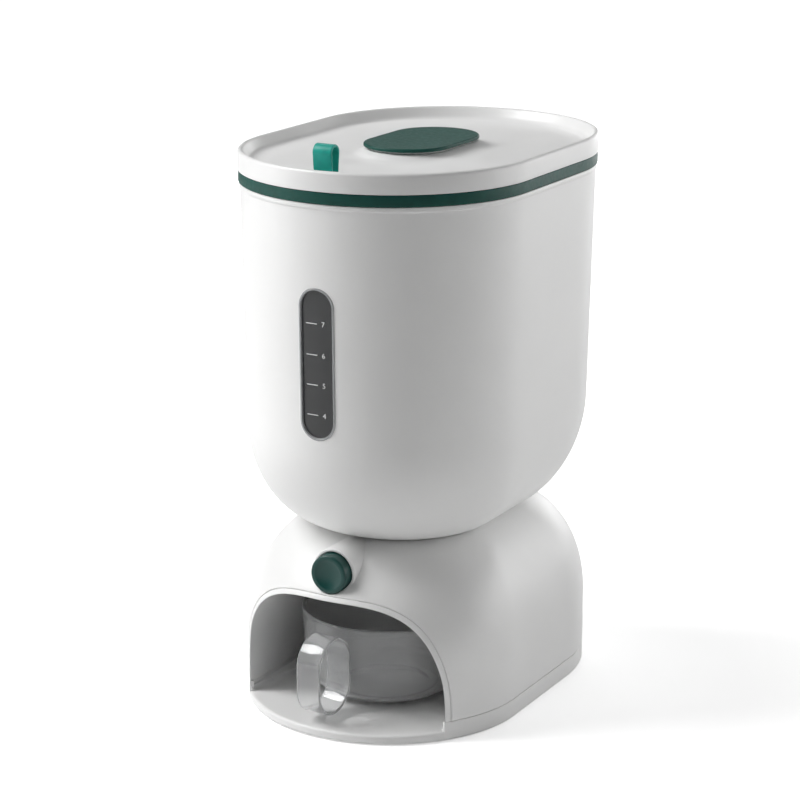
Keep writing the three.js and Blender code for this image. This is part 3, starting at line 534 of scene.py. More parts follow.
# ---- finishes ----
def new_material(name):
    """An empty node material with its shader and the object's own coordinates."""
    material = bpy.data.materials.new(name)
    material.use_nodes = True
    tree = material.node_tree
    shader = tree.nodes["Principled BSDF"]
    place = tree.nodes.new("ShaderNodeTexCoord").outputs["Object"]
    return material, tree, shader, place


def noise(tree, place, scale, detail=2.0, stretch=None):
    """Cloudy pattern on the object's coordinates, scale per metre, stretched along an axis where asked."""
    if stretch is not None:
        turn = tree.nodes.new("ShaderNodeMapping")
        turn.inputs["Scale"].default_value = stretch
        tree.links.new(place, turn.inputs["Vector"])
        place = turn.outputs["Vector"]
    node = tree.nodes.new("ShaderNodeTexNoise")
    node.inputs["Scale"].default_value = scale
    node.inputs["Detail"].default_value = detail
    tree.links.new(place, node.inputs["Vector"])
    return node.outputs["Fac"]


def spread(tree, value, low, high):
    """Maps the usual range of a noise value onto low to high."""
    node = tree.nodes.new("ShaderNodeMapRange")
    node.inputs["From Min"].default_value = 0.3
    node.inputs["From Max"].default_value = 0.7
    node.inputs["To Min"].default_value = low
    node.inputs["To Max"].default_value = high
    tree.links.new(value, node.inputs["Value"])
    return node.outputs["Result"]


def two_tone(tree, value, first, second):
    """Mixes two colours by a value."""
    node = tree.nodes.new("ShaderNodeMix")
    node.data_type = "RGBA"
    node.inputs["A"].default_value = (*first, 1)
    node.inputs["B"].default_value = (*second, 1)
    tree.links.new(value, node.inputs["Factor"])
    return node.outputs["Result"]


def grain(tree, shader, layers):
    """Chains bumps onto the shader: each layer is a pattern, a strength and a depth in metres."""
    normal = None
    for pattern, strength, depth in layers:
        bump = tree.nodes.new("ShaderNodeBump")
        bump.inputs["Strength"].default_value = strength
        bump.inputs["Distance"].default_value = depth
        tree.links.new(pattern, bump.inputs["Height"])
        if normal is not None:
            tree.links.new(normal, bump.inputs["Normal"])
        normal = bump.outputs["Normal"]
    tree.links.new(normal, shader.inputs["Normal"])


def shaded(colour, factor):
    """The colour made lighter or darker by a factor, kept within one."""
    return tuple(min(1.0, c * factor) for c in colour)


def moulded(name, colour, roughness, depth=2.5e-5, variation=0.02, gloss_variation=0.05, coat=0.0):
    """Moulded plastic: fine spark texture, slight flow waves, and faint unevenness of colour and gloss."""
    material, tree, shader, place = new_material(name)
    cloud = noise(tree, place, 9, 3)
    fine = noise(tree, place, 1900, 2)
    flow = noise(tree, place, 22, 1, (1, 1, 0.35))
    colours = two_tone(
        tree, spread(tree, cloud, 0, 1), shaded(colour, 1 - variation), shaded(colour, 1 + variation))
    tree.links.new(colours, shader.inputs["Base Color"])
    patchy = spread(
        tree, noise(tree, place, 60, 4), roughness - gloss_variation, roughness + gloss_variation)
    tree.links.new(patchy, shader.inputs["Roughness"])
    shader.inputs["Coat Weight"].default_value = coat
    shader.inputs["Coat Roughness"].default_value = 0.12
    grain(tree, shader, [(flow, 0.25, 2e-4), (fine, 0.5, depth)])
    return material


def rubbery(name, colour, roughness, scale=1500, depth=5e-5):
    """Soft rubber: matt, with a fine pebbled surface, dusty lighter patches and a low sheen."""
    material, tree, shader, place = new_material(name)
    dust = spread(tree, noise(tree, place, 130, 5), 0, 1)
    tree.links.new(
        two_tone(tree, dust, shaded(colour, 0.9), shaded(colour, 1.14)), shader.inputs["Base Color"])
    tree.links.new(
        spread(tree, noise(tree, place, 300, 3), roughness - 0.06, roughness + 0.06),
        shader.inputs["Roughness"])
    shader.inputs["Sheen Weight"].default_value = 0.02
    shader.inputs["Sheen Roughness"].default_value = 0.4
    shader.inputs["Specular IOR Level"].default_value = 0.3
    grain(
        tree, shader,
        [(noise(tree, place, 70, 2), 0.3, 2e-4), (noise(tree, place, scale, 2), 0.6, depth)])
    return material


def see_through(name, colour, roughness, weight, depth=2e-5):
    """Clear or smoked plastic: light passes, with faint flow waves and small scuffs in its gloss."""
    material, tree, shader, place = new_material(name)
    cloud = spread(tree, noise(tree, place, 40, 3), 0, 1)
    tree.links.new(
        two_tone(tree, cloud, shaded(colour, 0.97), shaded(colour, 1.02)), shader.inputs["Base Color"])
    scuffs = noise(tree, place, 420, 5, (1, 1, 0.2))
    tree.links.new(
        spread(tree, scuffs, max(0.01, roughness - 0.03), roughness + 0.05), shader.inputs["Roughness"])
    shader.inputs["Transmission Weight"].default_value = weight
    shader.inputs["IOR"].default_value = 1.49
    grain(tree, shader, [(noise(tree, place, 55, 1), 0.3, 1e-4), (noise(tree, place, 700, 2), 0.15, depth)])
    return material


def brushed(name, colour, roughness):
    """Turned steel: fine lines round each piece, with uneven gloss."""
    material, tree, shader, place = new_material(name)
    lines = noise(tree, place, 900, 3, (1, 1, 12))
    tree.links.new(
        two_tone(tree, spread(tree, lines, 0, 1), shaded(colour, 0.85), colour),
        shader.inputs["Base Color"])
    tree.links.new(spread(tree, lines, roughness - 0.08, roughness + 0.1), shader.inputs["Roughness"])
    shader.inputs["Metallic"].default_value = 1.0
    grain(tree, shader, [(lines, 0.3, 2e-5)])
    return material


def fibrous(name, colour):
    """Paper: matt, flecked, with a felted surface of short fibres."""
    material, tree, shader, place = new_material(name)
    fibres = noise(tree, place, 520, 6, (1, 3.5, 1))
    tree.links.new(
        two_tone(tree, spread(tree, fibres, 0, 1), shaded(colour, 0.86), colour),
        shader.inputs["Base Color"])
    tree.links.new(spread(tree, fibres, 0.8, 0.98), shader.inputs["Roughness"])
    grain(tree, shader, [(fibres, 0.8, 1.5e-4)])
    return material


MAKERS = {
    "white_plastic": lambda c: moulded("satin_white", c.body, 0.36),
    "inner_plastic": lambda c: moulded("inner_grey", (0.62, 0.63, 0.63), 0.52, 5e-5, 0.03),
    "green_plastic": lambda c: moulded("button_green", c.button, 0.34, 1.2e-5, 0.05, 0.04),
    "green_rubber": lambda c: rubbery("seal_green", c.seal, 0.5),
    "bright_silicone": lambda c: rubbery("tab_green", c.tab, 0.42, 1100, 3e-5),
    "smoked_window": lambda c: see_through("smoked_pane", c.window, 0.14, 0.55),
    "clear_plastic": lambda c: see_through("clear_cup", (0.94, 0.945, 0.95), 0.05, 0.84),
    "clear_border": lambda c: see_through("clear_border", (0.6, 0.61, 0.62), 0.08, 0.5),
    # real rubber of the feet; on the neck ring this dark colour is painted shade for the seam's shadow line
    "dark_rubber": lambda c: rubbery("foot_rubber_and_seam_shade", (0.03, 0.031, 0.032), 0.72),
    "steel": lambda c: brushed("turned_steel", (0.62, 0.62, 0.63), 0.3),
    "paper": lambda c: fibrous("felted_paper", (0.86, 0.84, 0.78)),
    "print_white": lambda c: rubbery("print_white", (0.8, 0.8, 0.8), 0.6, 2200, 2e-5),
}


def finish(slot):
    """The material of a slot, made the first time it is asked for."""
    key = "finish_" + slot
    found = bpy.data.materials.get(key)
    if found is None:
        found = MAKERS[slot](bpy.context.scene.dispenser_colours)
        found.name = key
    return found


# ---- tank and window ----
def tank_piece():
    """The tank's wall: a tapered oval above a rounded bowl, with the window's hole and a bead at the rim."""
    end = np.arcsin((TANK_SHOULDER - TANK_END) / TANK_FALL)
    turn = np.linspace(end, 0, 27)[:-1]
    low, high = WINDOW_BOTTOM + WINDOW_RADIUS, WINDOW_TOP - WINDOW_RADIUS
    quarter = WINDOW_RADIUS * np.sin(np.linspace(0, np.pi / 2, 11))
    bead_foot = TANK_TOP - 3.4
    heights = np.concatenate([
        np.linspace(TANK_SHOULDER, WINDOW_BOTTOM, 4)[:-1], low - quarter[:0:-1], np.linspace(low, high, 24),
        high + quarter[1:], np.linspace(WINDOW_TOP, bead_foot - 0.7, 16)[1:]])
    radius = tank_radius(heights)
    wall = np.stack([radius, STRAIGHT * radius, heights], -1)
    rim = tank_radius(TANK_TOP)
    bead = [
        (rim, bead_foot - 0.3), (rim + 0.15, bead_foot - 0.1), (rim + RIM_BEAD - 0.1, bead_foot + 0.05),
        (rim + RIM_BEAD, bead_foot + 0.3), (rim + RIM_BEAD, TANK_TOP - 0.35),
        (rim + RIM_BEAD - 0.1, TANK_TOP - 0.08), (rim + RIM_BEAD - 0.35, TANK_TOP)]
    bead = np.array([(r, STRAIGHT * rim, z) for r, z in bead])
    outer_rows = np.concatenate([bowl(turn), wall, bead])
    upper = np.concatenate([wall, bead])
    inner_radius = tank_radius(upper[:, 2]) - WALL
    upper = np.stack([inner_radius, upper[:, 1], upper[:, 2]], -1)
    inner_rows = np.concatenate([bowl(turn, WALL), upper])
    columns = np.concatenate([quarter, [14.6, 16.2, 18.4, 21.0]])

    def places(rows):
        first = np.arcsin(columns / rows[:, :1]) * 2 / np.pi
        t = np.linspace(0, 1, 26)[1:]
        arc = first[:, -1:] + (1 - first[:, -1:]) * t
        rest = np.concatenate([np.linspace(1, 2, 9)[1:], np.linspace(2, 3, 37)[1:]])
        half = np.concatenate([first, arc, np.broadcast_to(rest, (len(rows), len(rest)))], 1)
        return np.concatenate([half, -half[:, -2:0:-1]], 1)

    outer = oval_points(outer_rows[:, None, :], places(outer_rows))
    inner = oval_points(inner_rows[:, None, :], places(inner_rows))
    outer, share = pierce(outer, low, high, WINDOW_RADIUS, tank_front)
    inner = follow_hole(inner, outer, share, lambda x, z: tank_front(x, z, WALL))
    top = oval_points(
        np.array([(rim - 2.8, STRAIGHT * rim, TANK_TOP)])[:, None, :], places(inner_rows[-1:]))
    straight = inner_rows[0, 1]
    foot = [(61.0, TANK_BOTTOM + WALL), (61.0, TANK_BOTTOM), (TANK_LIP, TANK_BOTTOM)]
    foot = [(r, straight, z) for r, z in foot]
    bottom = oval_points(np.array(foot)[:, None, :], places(inner_rows[:1]))
    points, quads = holed_shell(outer, inner, share, top, bottom)
    build("tank_wall", points, quads, "base", "white_plastic", ["tank"])


def window_grid(profile, count=28):
    """Points at each (distance from the middle line, depth) of the profile, all round the window."""
    low, high = WINDOW_BOTTOM + WINDOW_RADIUS, WINDOW_TOP - WINDOW_RADIUS
    arc = np.linspace(-np.pi / 2, np.pi / 2, count)
    rise = np.linspace(low, high, 26)[1:-1]
    angle = np.concatenate(
        [arc, np.full(len(rise), np.pi / 2), arc + np.pi, np.full(len(rise), -np.pi / 2)])
    line = np.concatenate([np.full(count, high), rise[::-1], np.full(count, low), rise])
    distance, depth = (np.asarray(profile, float)[:, k:k + 1] for k in range(2))
    x = distance * np.sin(angle)
    z = line + distance * np.cos(angle)
    y = tank_front(x, z) + depth
    return np.stack([x, y, z], -1)


def window_pieces(sizes):
    """The smoked pane, sunk in the wall, and the clear raised border round it."""
    recess = sizes.window_recess / MM
    proud = sizes.window_border / MM
    pane = [
        (0.0, recess), (4.0, recess), (8.0, recess), (10.6, recess), (11.4, recess), (12.9, recess + 0.1),
        (13.2, recess + 0.4), (13.2, 2.5), (12.9, 2.75), (8.0, 2.8), (0.0, 2.8)]
    points = window_grid(pane)
    quads = grid_quads(points.shape[0], points.shape[1], False, True)
    build("window_pane", points, quads, "base", "smoked_window", ["window_lens"])
    border = eased_ring(
        [(12.3, recess - 0.05), (12.6, -proud), (14.0, -proud), (14.3, 0.12), (13.4, 0.2),
         (13.3, recess - 0.05)],
        
        [0.1, 0.3, 0.3, 0.1, 0.1, 0.1], 5)
    points = window_grid(border)
    quads = grid_quads(points.shape[0], points.shape[1], True, True)
    build("window_border", points, quads, "base", "smoked_window", ["window_lens"],
        material=finish("clear_border"))


def window_marks(sizes):
    """Level marks on the pane: a bar and a figure from 4 to 7 every 22 mm, slightly raised."""
    recess = sizes.window_recess / MM
    for figure, z in ((4, 244.5), (5, 266.5), (6, 288.4), (7, 311.0)):
        curve = bpy.data.curves.new("mark", "FONT")
        curve.body = str(figure)
        curve.size = 5.2 * MM
        curve.extrude = 0.08 * MM
        holder = bpy.data.objects.new("mark", curve)
        mesh = bpy.data.meshes.new_from_object(holder)
        co = np.zeros(len(mesh.vertices) * 3)
        mesh.vertices.foreach_get("co", co)
        co = co.reshape(-1, 3) / MM
        co[:, 0] += 5.0 - (co[:, 0].min() + co[:, 0].max()) / 2
        height = co[:, 1] + z - (co[:, 1].min() + co[:, 1].max()) / 2
        y = tank_front(co[:, 0], height) + recess - 0.02 - co[:, 2]
        place = np.stack([co[:, 0], y, height], -1) * MM
        mesh.vertices.foreach_set("co", place.ravel())
        mesh.materials.clear()
        mesh.materials.append(finish("print_white"))
        bpy.data.objects.remove(holder)
        settle(f"window_figure_{figure}", mesh, "base")
        bar_mark(f"window_bar_{figure}", z, recess)


def bar_mark(name, z, recess):
    """A short level bar beside a figure: a rounded strip on the pane."""
    outline = eased_ring([(-9.0, -0.28), (0.0, -0.28), (0.0, 0.28), (-9.0, 0.28)], [0.2] * 4, 4)
    middle = outline.mean(0)
    rings = [middle + (outline - middle) * k for k in (1e-4, 0.6, 1.0, 1.0, 0.6, 1e-4)]
    rise = [0.1, 0.1, 0.07, -0.05, -0.05, -0.05]
    rows = []
    for ring, up in zip(rings, rise):
        y = tank_front(ring[:, 0], ring[:, 1] + z) + recess - up
        rows.append(np.stack([ring[:, 0], y, ring[:, 1] + z], -1))
    quads = grid_quads(len(rows), len(outline), False, True)
    build(name, np.stack(rows), quads, "base", "white_plastic", material=finish("print_white"))


# ---- base ----
def cover_piece():
    """The domed cover: columns fan from the arch's seam and the bottom edge up to the neck.

    Each column runs straight in (place round the oval, length up the dome) from edge to neck. A few
    edge rows round the seam over, and a round hole takes the button.
    """
    step = np.linspace(TRAY_TOP, COVER_END, 3000)
    profile = dome(step)
    length = np.concatenate([[0], np.cumsum(np.hypot(np.diff(profile[:, 0]), np.diff(profile[:, 2])))])
    grow = 1 + SEAM / BEZEL_TOP
    foot = TRAY_TOP + SEAM
    turn = arch_turns(190, foot)
    x, z = arch_point(turn, grow)
    z = np.maximum(z, foot)
    dx, dz = np.gradient(x), np.gradient(z)
    size = np.hypot(dx, dz)
    nx, nz = dz / size, -dx / size
    edges = [(0.0, 2.6), (0.0, 0.5), (0.12, 0.14), (0.45, 0.0)]
    foot_share = np.arcsin(x[0] / BASE_RADIUS) * 2 / np.pi
    rest = np.linspace(foot_share, 3, 121)
    rest = np.concatenate([-rest[1:], rest[-2:0:-1]])
    top_share = np.concatenate([
        np.linspace(1.3, -1.3, len(turn)),
        np.sign(rest) * (1.3 + (np.abs(rest) - foot_share) * 1.7 / (3 - foot_share))])

    def edge_row(out, depth):
        ex, ez = x + out * nx, z + out * nz
        ex = np.clip(ex, -BASE_RADIUS + 1, BASE_RADIUS - 1)
        rows = dome(ez)
        share = np.arcsin(np.clip(ex / (rows[:, 0] - depth), -1, 1)) * 2 / np.pi
        height = np.concatenate([ez, np.full(len(rest), foot + out)])
        share = np.concatenate([share, rest])
        return share, height, depth

    def place(share, height, depth):
        rows = dome(np.atleast_2d(height))
        rows[..., 0] -= depth
        return oval_points(rows, np.atleast_2d(share))

    edge_points = [place(*edge_row(*edge)) for edge in edges[1:]]  # one row of points each
    start_share, start_height, _ = edge_row(*edges[-1])
    start = np.interp(start_height, step, length)
    u = np.linspace(0, 1, 66)[1:, None]
    share = start_share + (top_share - start_share) * u
    height = np.interp(start + (length[-1] - start) * u, length, step)
    outer = np.concatenate([*edge_points, place(share, height, 0.0)])
    inner_rows = dome(height, WALL)
    inner_body = oval_points(inner_rows, share)
    inner_edge = place(*edge_row(*edges[0]))
    inner_edge = np.repeat(inner_edge, len(edge_points), axis=0)
    inner = np.concatenate([inner_edge, inner_body])
    hole = BORE_RADIUS + 0.35
    outer, depth_share = pierce(outer, BUTTON_Z, BUTTON_Z, hole, dome_front)
    inner = follow_hole(inner, outer, depth_share, lambda px, pz: dome_front(px, pz, WALL))
    straight = dome(np.array(COVER_END))[1]
    lips = [(COVER_LIP, COVER_END), (COVER_LIP, COVER_TOP),
            (NECK_INNER, COVER_TOP), (NECK_INNER, COVER_TOP - WALL)]
    lips = np.array([(r, straight, h) for r, h in lips])[:, None, :]
    top = oval_points(lips, np.broadcast_to(top_share, (4, len(top_share))))
    points, quads = holed_shell(outer, inner, depth_share, top, inner[:1] * 1.0)
    build("cover_dome", points, quads, "base", "white_plastic", ["base_cover"])


def collar_piece():
    """The button's collar: a short straight sleeve about the bore that runs back into the dome.

    Its face is a soft minimum of the plane y = face and the dome. Its lower side keeps clear of the
    arch.
    """
    psi = np.linspace(0, 2 * np.pi, 144, endpoint=False)
    sx, cz = np.sin(psi), np.cos(psi)
    seam_z = FLOOR_TOP + ARCH_HEIGHT + BEZEL_TOP + SEAM
    room = (BUTTON_Z - seam_z - 0.15) / np.maximum(-cz, 1e-3)
    wall = (BOSS_RADIUS ** -24.0 + np.minimum(room, 1e3) ** -24.0) ** (-1 / 24)
    wall = np.maximum(wall, BORE_RADIUS + 0.12)

    def dome_at(radius):
        return dome_front(radius * sx, np.minimum(BUTTON_Z + radius * cz, COVER_END))

    def face_at(radius):
        soft = 0.5
        return -soft * np.logaddexp(-BOSS_FACE_Y / soft, -dome_at(radius) / soft)

    edge = np.minimum(0.8, (wall - BORE_RADIUS) * 0.4)
    rows = [(np.full_like(psi, BORE_RADIUS), np.full_like(psi, BOSS_END_Y))]
    for k in np.linspace(0, 1, 5):
        lip = BORE_RADIUS + edge * np.sin(k * np.pi / 2) ** 2
        rows.append((lip, face_at(lip) + edge * (1 - k) ** 1.5))
    for k in np.linspace(0, 1, 6):
        r = wall - edge + edge * np.sin(k * np.pi / 2)
        rows.append((r, face_at(r) + edge * (1 - np.cos(k * np.pi / 2))))
    side = face_at(wall) + edge
    back = np.minimum(np.maximum(dome_at(wall) + 0.6, side + 0.1), -98.0)
    for k in np.linspace(0.2, 1, 5):
        rows.append((wall, side + (back - side) * k))
    rows.append((np.full_like(psi, BORE_RADIUS + 0.1), np.maximum(back, BOSS_END_Y)))
    grid = [np.stack([r * sx, y, BUTTON_Z + r * cz], -1) for r, y in rows]
    points = np.stack(grid)
    quads = grid_quads(len(grid), len(psi), True, True)
    build("button_collar", points, quads, "base", "white_plastic", ["base_cover"])


def liner_front(turn):
    """Rows of the bezel between the seam and the opening, with both edges rounded."""
    profile = [
        (1.0, 2.4), (1.0, 0.5), (0.955, 0.14), (0.84, 0.0), (0.6, -0.04), (0.36, 0.0), (0.2, 0.1),
        (0.07, 0.42),
        (0.0, 1.1)]
    rows = []
    for grow, depth in profile:
        x, z = arch_point(turn, grow)
        z = np.maximum(z, TRAY_TOP)
        rows.append(np.stack([x, dome_front(x, z) + depth, z], -1))
    return np.stack(rows)


def liner_piece():
    """The arched liner: a bezel flush with the dome, then a straight tunnel with round rear corners."""
    turn = arch_turns(240, TRAY_TOP + SEAM)
    front = liner_front(turn)
    edge = front[-1]
    tunnel = bay_wall(edge[:, 0], edge[:, 2], edge[:, 1], 76)[1:]
    points = np.concatenate([front, tunnel])
    quads = grid_quads(points.shape[0], points.shape[1])
    build(
        "bay_liner", points, quads, "base", "white_plastic", ["arch_liner"],
        sharp=40, wall=1.2, facing=(0, -60, 60))


def kerb_lines(count):
    """Plans of the liner's foot and of the recess, each from the right front corner to the left one."""
    x = np.array([ARCH_HALF_WIDTH])
    z = np.array([TRAY_TOP])
    y = dome_front(x, z) + 0.2
    foot = even_steps(bay_wall(x, z, y, 200)[:, 0, :2], count)
    recess = recess_line(y[0], count)
    return [np.concatenate([line, line[-2::-1] * (-1, 1)]) for line in (foot, recess)]


def inward_of(edge, lip, pole):
    """Directions from an outline to a pole, with the slope of each to the outline's own normal."""
    along = np.gradient(edge, axis=0)
    normal = np.stack([-along[:, 1], along[:, 0]], -1)
    normal /= np.linalg.norm(normal, axis=1)[:, None]
    lip_turn = np.arcsin(lip[:, 0] / BASE_RADIUS)
    normal = np.concatenate([normal, np.stack([-np.sin(lip_turn), np.cos(lip_turn)], -1)])
    outline = np.concatenate([edge, lip])
    inward = pole - outline
    inward /= np.linalg.norm(inward, axis=1)[:, None]
    slant = np.maximum(np.abs((inward * normal).sum(1)), 0.25)[:, None]
    return outline, inward / slant, normal


def tray_floor_piece():
    """The tray under the cup: flat floor, a step up to a ledge, the kerb, and a rounded lip at the front."""
    foot, recess = kerb_lines(100)
    t = np.arcsin(ARCH_HALF_WIDTH / BASE_RADIUS)
    lip_turn = np.linspace(-t, t, 60)
    straight = STRAIGHT * BASE_RADIUS
    lip = np.stack([BASE_RADIUS * np.sin(lip_turn), -straight - BASE_RADIUS * np.cos(lip_turn)], -1)
    pole = np.array([0.0, -60.0])
    low_edge, low_in, low_normal = inward_of(recess, lip, pole)
    high_edge, high_in, high_normal = inward_of(foot, lip, pole)
    step = [
        (4.6, 8.0), (3.4, 8.06), (2.4, 8.35), (1.5, 8.95), (0.8, 9.8), (0.35, 10.8), (0.12, 11.7),
        (0.0, 12.05),
        (-0.4, LEDGE_TOP)]
    drop = [(4.6, 8.0), (3.8, 8.0), (3.0, 8.0), (2.4, 7.98), (1.8, 7.92),
            (1.3, 7.78), (0.9, 7.6), (0.5, 7.3), (0.25, 6.9)]
    kerb = [
        (0.35, LEDGE_TOP), (0.05, LEDGE_TOP + 0.3), (0.0, 15.1), (-0.1, 15.4), (-0.9, 15.4),
        (-2.9, 15.4), (-2.9, 5.3)]
    fall = [(0.06, 6.3), (0.0, 5.4), (0.0, 3.6), (0.0, 2.7), (0.35, 2.1), (1.3, 1.05), (3.2, 1.0)]
    grid = []
    for k in (0.0, 0.3, 0.6, 0.85):
        flat = pole + (low_edge + low_in * 4.6 - pole) * k
        grid.append(np.column_stack([flat, np.full(len(flat), FLOOR_TOP)]))
    sides = [(step, drop, low_edge, low_in, low_normal), (kerb, fall, high_edge, high_in, high_normal)]
    for inner, outer, edge, inward, normal in sides:
        for (d0, z0), (d1, z1) in zip(inner, outer):
            distance = np.concatenate([np.full(len(foot), d0), np.full(len(lip), d1)])[:, None]
            z = np.concatenate([np.full(len(foot), z0), np.full(len(lip), z1)])
            flat = edge + np.where(distance < 0, normal, inward) * distance
            front = -straight - np.sqrt(np.clip(BASE_RADIUS ** 2 - flat[:, 0] ** 2, 0, None))
            flat[:, 1] = np.maximum(flat[:, 1], front)
            grid.append(np.column_stack([flat, z]))
    grid.append(np.column_stack([high_edge + high_in * 5, np.full(len(high_edge), 5.3)]))
    grid.append(np.column_stack([np.broadcast_to(pole, high_edge.shape), np.full(len(high_edge), 5.3)]))
    points = np.stack(grid)
    quads = grid_quads(len(grid), len(high_edge), False, True)
    build("tray_floor", points, quads, "base", "white_plastic", ["base_tray"], sharp=40)


def tray_skirt_piece():
    """The tray's outer skirt from one side of the opening round the back to the other, with capped ends."""
    first = np.arcsin(ARCH_HALF_WIDTH / BASE_RADIUS) * 2 / np.pi
    side = np.concatenate([np.linspace(first, 1, 20), np.linspace(1, 2, 9)[1:], np.linspace(2, 3, 41)[1:]])
    share = np.concatenate([side, -side[-2::-1]])
    section = eased_ring(
        [(0.0, TRAY_TOP), (0.0, 2.6), (1.2, 1.0), (2.95, 1.0), (2.95, TRAY_TOP)],
        [0.1, 0.5, 0.3, 0.2, 0.2], 4)
    rows = np.array([(BASE_RADIUS - d, STRAIGHT * BASE_RADIUS, z) for d, z in section])
    points = oval_points(rows, share)
    start = points[:, :1].mean(0, keepdims=True)
    end = points[:, -1:].mean(0, keepdims=True)
    points = np.concatenate([
        np.broadcast_to(start, points[:, :1].shape), points, np.broadcast_to(end, points[:, :1].shape)], 1)
    quads = grid_quads(points.shape[0], points.shape[1], True, False)
    build("tray_skirt", points, quads, "base", "white_plastic", ["base_tray"], sharp=40)


def tray_plate_piece():
    """The flat floor plate inside the skirt."""
    s = STRAIGHT * BASE_RADIUS
    rows = [(104.2, s, 5.0), (104.2, s, 7.5)]
    oval_solid("tray_plate", rows, "base", "white_plastic", ["base_tray"], ring=False)


def foot_pieces():
    """The four round feet, with an eased rim."""
    for number in range(1, 5):
        low, high = cad(f"foot_{number}")
        middle = (low + high) / 2
        r = (high[0] - low[0]) / 2
        profile = eased([(1e-4, 0.0), (r, 0.0), (r, high[2]), (1e-4, high[2])], [0.9, 0.3], 6)
        profile = np.insert(profile, 1, [(r * 0.4, 0.25), (r * 0.6, 0.0)], 0)
        profile[0] = (1e-4, 0.3)
        points = turned_points(profile, 48) + (middle[0], middle[1], 0)
        quads = grid_quads(len(profile), 48, False, True)
        build(f"rubber_foot_{number}", points, quads, "base", "dark_rubber", [f"foot_{number}"])


# ---- button ----
def about_button(profile, count=96):
    """Points of a profile of (radius, y) turned about the button's axis."""
    profile = np.asarray(profile, float)
    psi = np.linspace(0, 2 * np.pi, count, endpoint=False)
    x = profile[:, :1] * np.sin(psi)
    z = BUTTON_Z + profile[:, :1] * np.cos(psi)
    return np.stack([x, np.broadcast_to(profile[:, 1:], x.shape), z], -1)


def button_piece(sizes):
    """The push button: a dished glossy face, a rounded rim, a skirt and the socket for the rod."""
    face = BUTTON_FACE_Y
    dish = sizes.button_dish / MM
    r = BUTTON_RADIUS
    back = BUTTON_HIGH[1]
    bowl_radius = r - 4.2
    hollow = [(k * bowl_radius, face + dish * (1 - k ** 2) + 0.4) for k in np.linspace(1e-5, 1, 14)]
    rim = eased([(bowl_radius, face + 0.4), (r - 3.2, face), (r, face), (r, face + 3)], [0.9, 1.7], 9)[1:]
    inside = [
        (r, back - 0.3), (r - 0.3, back), (r - 1.8, back), (r - 1.8, face + 3.6), (r - 2.2, face + 3.3),
        (6.3, face + 3.3), (6.3, face + 9.3), (4.3, face + 9.3), (4.3, face + 3.3), (1e-5, face + 3.3)]
    profile = np.concatenate([hollow, rim, inside])
    points = about_button(profile)
    quads = grid_quads(len(profile), points.shape[1], False, True)
    build("push_button", points, quads, "button", "green_plastic", ["button_cap"])


def spring_piece():
    """The return spring: a round wire carried along a helix about the button's axis."""
    wire = SPRING_WIRE / 2
    start, end = SPRING_LOW[1] + wire, SPRING_HIGH[1] - wire
    steps = SPRING_TURNS * 36
    t = np.linspace(0, 1, steps + 1)
    coil_radius = SPRING_HIGH[0] - wire
    angle = 2 * np.pi * SPRING_TURNS * t
    y = start + (end - start) * t
    centre = np.stack([coil_radius * np.cos(angle), y, BUTTON_Z + coil_radius * np.sin(angle)], -1)
    out = np.stack([np.cos(angle), 0 * angle, np.sin(angle)], -1)
    tangent = np.gradient(centre, axis=0)
    tangent /= np.linalg.norm(tangent, axis=1)[:, None]
    side = np.cross(tangent, out)
    ring = np.linspace(0, 2 * np.pi, 12, endpoint=False)
    size = np.concatenate([[1e-4], np.ones(steps + 1), [1e-4]])[:, None, None]
    pick = np.concatenate([[0], np.arange(steps + 1), [steps]])
    across = out[pick][:, None] * np.cos(ring)[None, :, None]
    offset = across + side[pick][:, None] * np.sin(ring)[None, :, None]
    points = centre[pick][:, None] + offset * wire * size
    quads = grid_quads(len(pick), len(ring), False, True)
    spring = build("coil_spring", points, quads, "base", "steel", ["return_spring"], sharp=60)
    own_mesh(spring)


# ---- lid ----
def lid_piece():
    """The lid: a rounded rim, a shallow dish and a raised seat for the pad, hollow below."""
    s = STRAIGHT * LID_RADIUS
    low, top = LID_LOW[2], LID_HIGH[2]
    r = LID_RADIUS
    seat = LID_HIGH[2] - 4.6
    corners = [
        (r - 1.4, s, low), (r, s, low), (r, s, top), (r - 3.4, s, top), (r - 8.6, s, LID_FLOOR + 0.2),
        (r - 14.0, s, LID_FLOOR), (PAD_RADIUS + 15, PAD_STRAIGHT, LID_FLOOR),
        (PAD_RADIUS + 6, PAD_STRAIGHT, LID_FLOOR + 1.0), (PAD_RADIUS - 2, PAD_STRAIGHT, seat),
        (POCKET_RADIUS, PAD_STRAIGHT, seat), (POCKET_RADIUS, PAD_STRAIGHT, seat - LID_WALL),
        (PAD_RADIUS - 3, PAD_STRAIGHT, seat - LID_WALL),
        (PAD_RADIUS + 13, PAD_STRAIGHT, LID_FLOOR - LID_WALL),
        (r - 13.5, s, LID_FLOOR - LID_WALL), (r - LID_WALL, s, low + 2), (r - LID_WALL, s, low)]
    cuts = [0.5, 2.6, 1.6, 3.6, 1.5, 4.0, 3.0, 0.8, 0.3, 0.2, 0.5, 2.0, 2.0, 0.5]
    rows = eased(corners, cuts, 8)
    oval_solid("lid_top", rows, "lid", "white_plastic", ["lid_shell"])


def lid_plate_piece():
    """The flat plate that closes the lid from below, round the absorber."""
    r, s = PLATE_HIGH[0], STRAIGHT * LID_RADIUS
    low, high = PLATE_LOW[2], PLATE_HIGH[2]
    inner = POCKET_RADIUS + SEAM
    rows = eased_ring(
        [(r, s, low), (r, s, high), (inner, PAD_STRAIGHT, high), (inner, PAD_STRAIGHT, low)],
        [0.6, 0.3, 0.3, 0.6], 4)
    oval_solid("lid_underside", rows, "lid", "inner_plastic", ["lid_plate"])


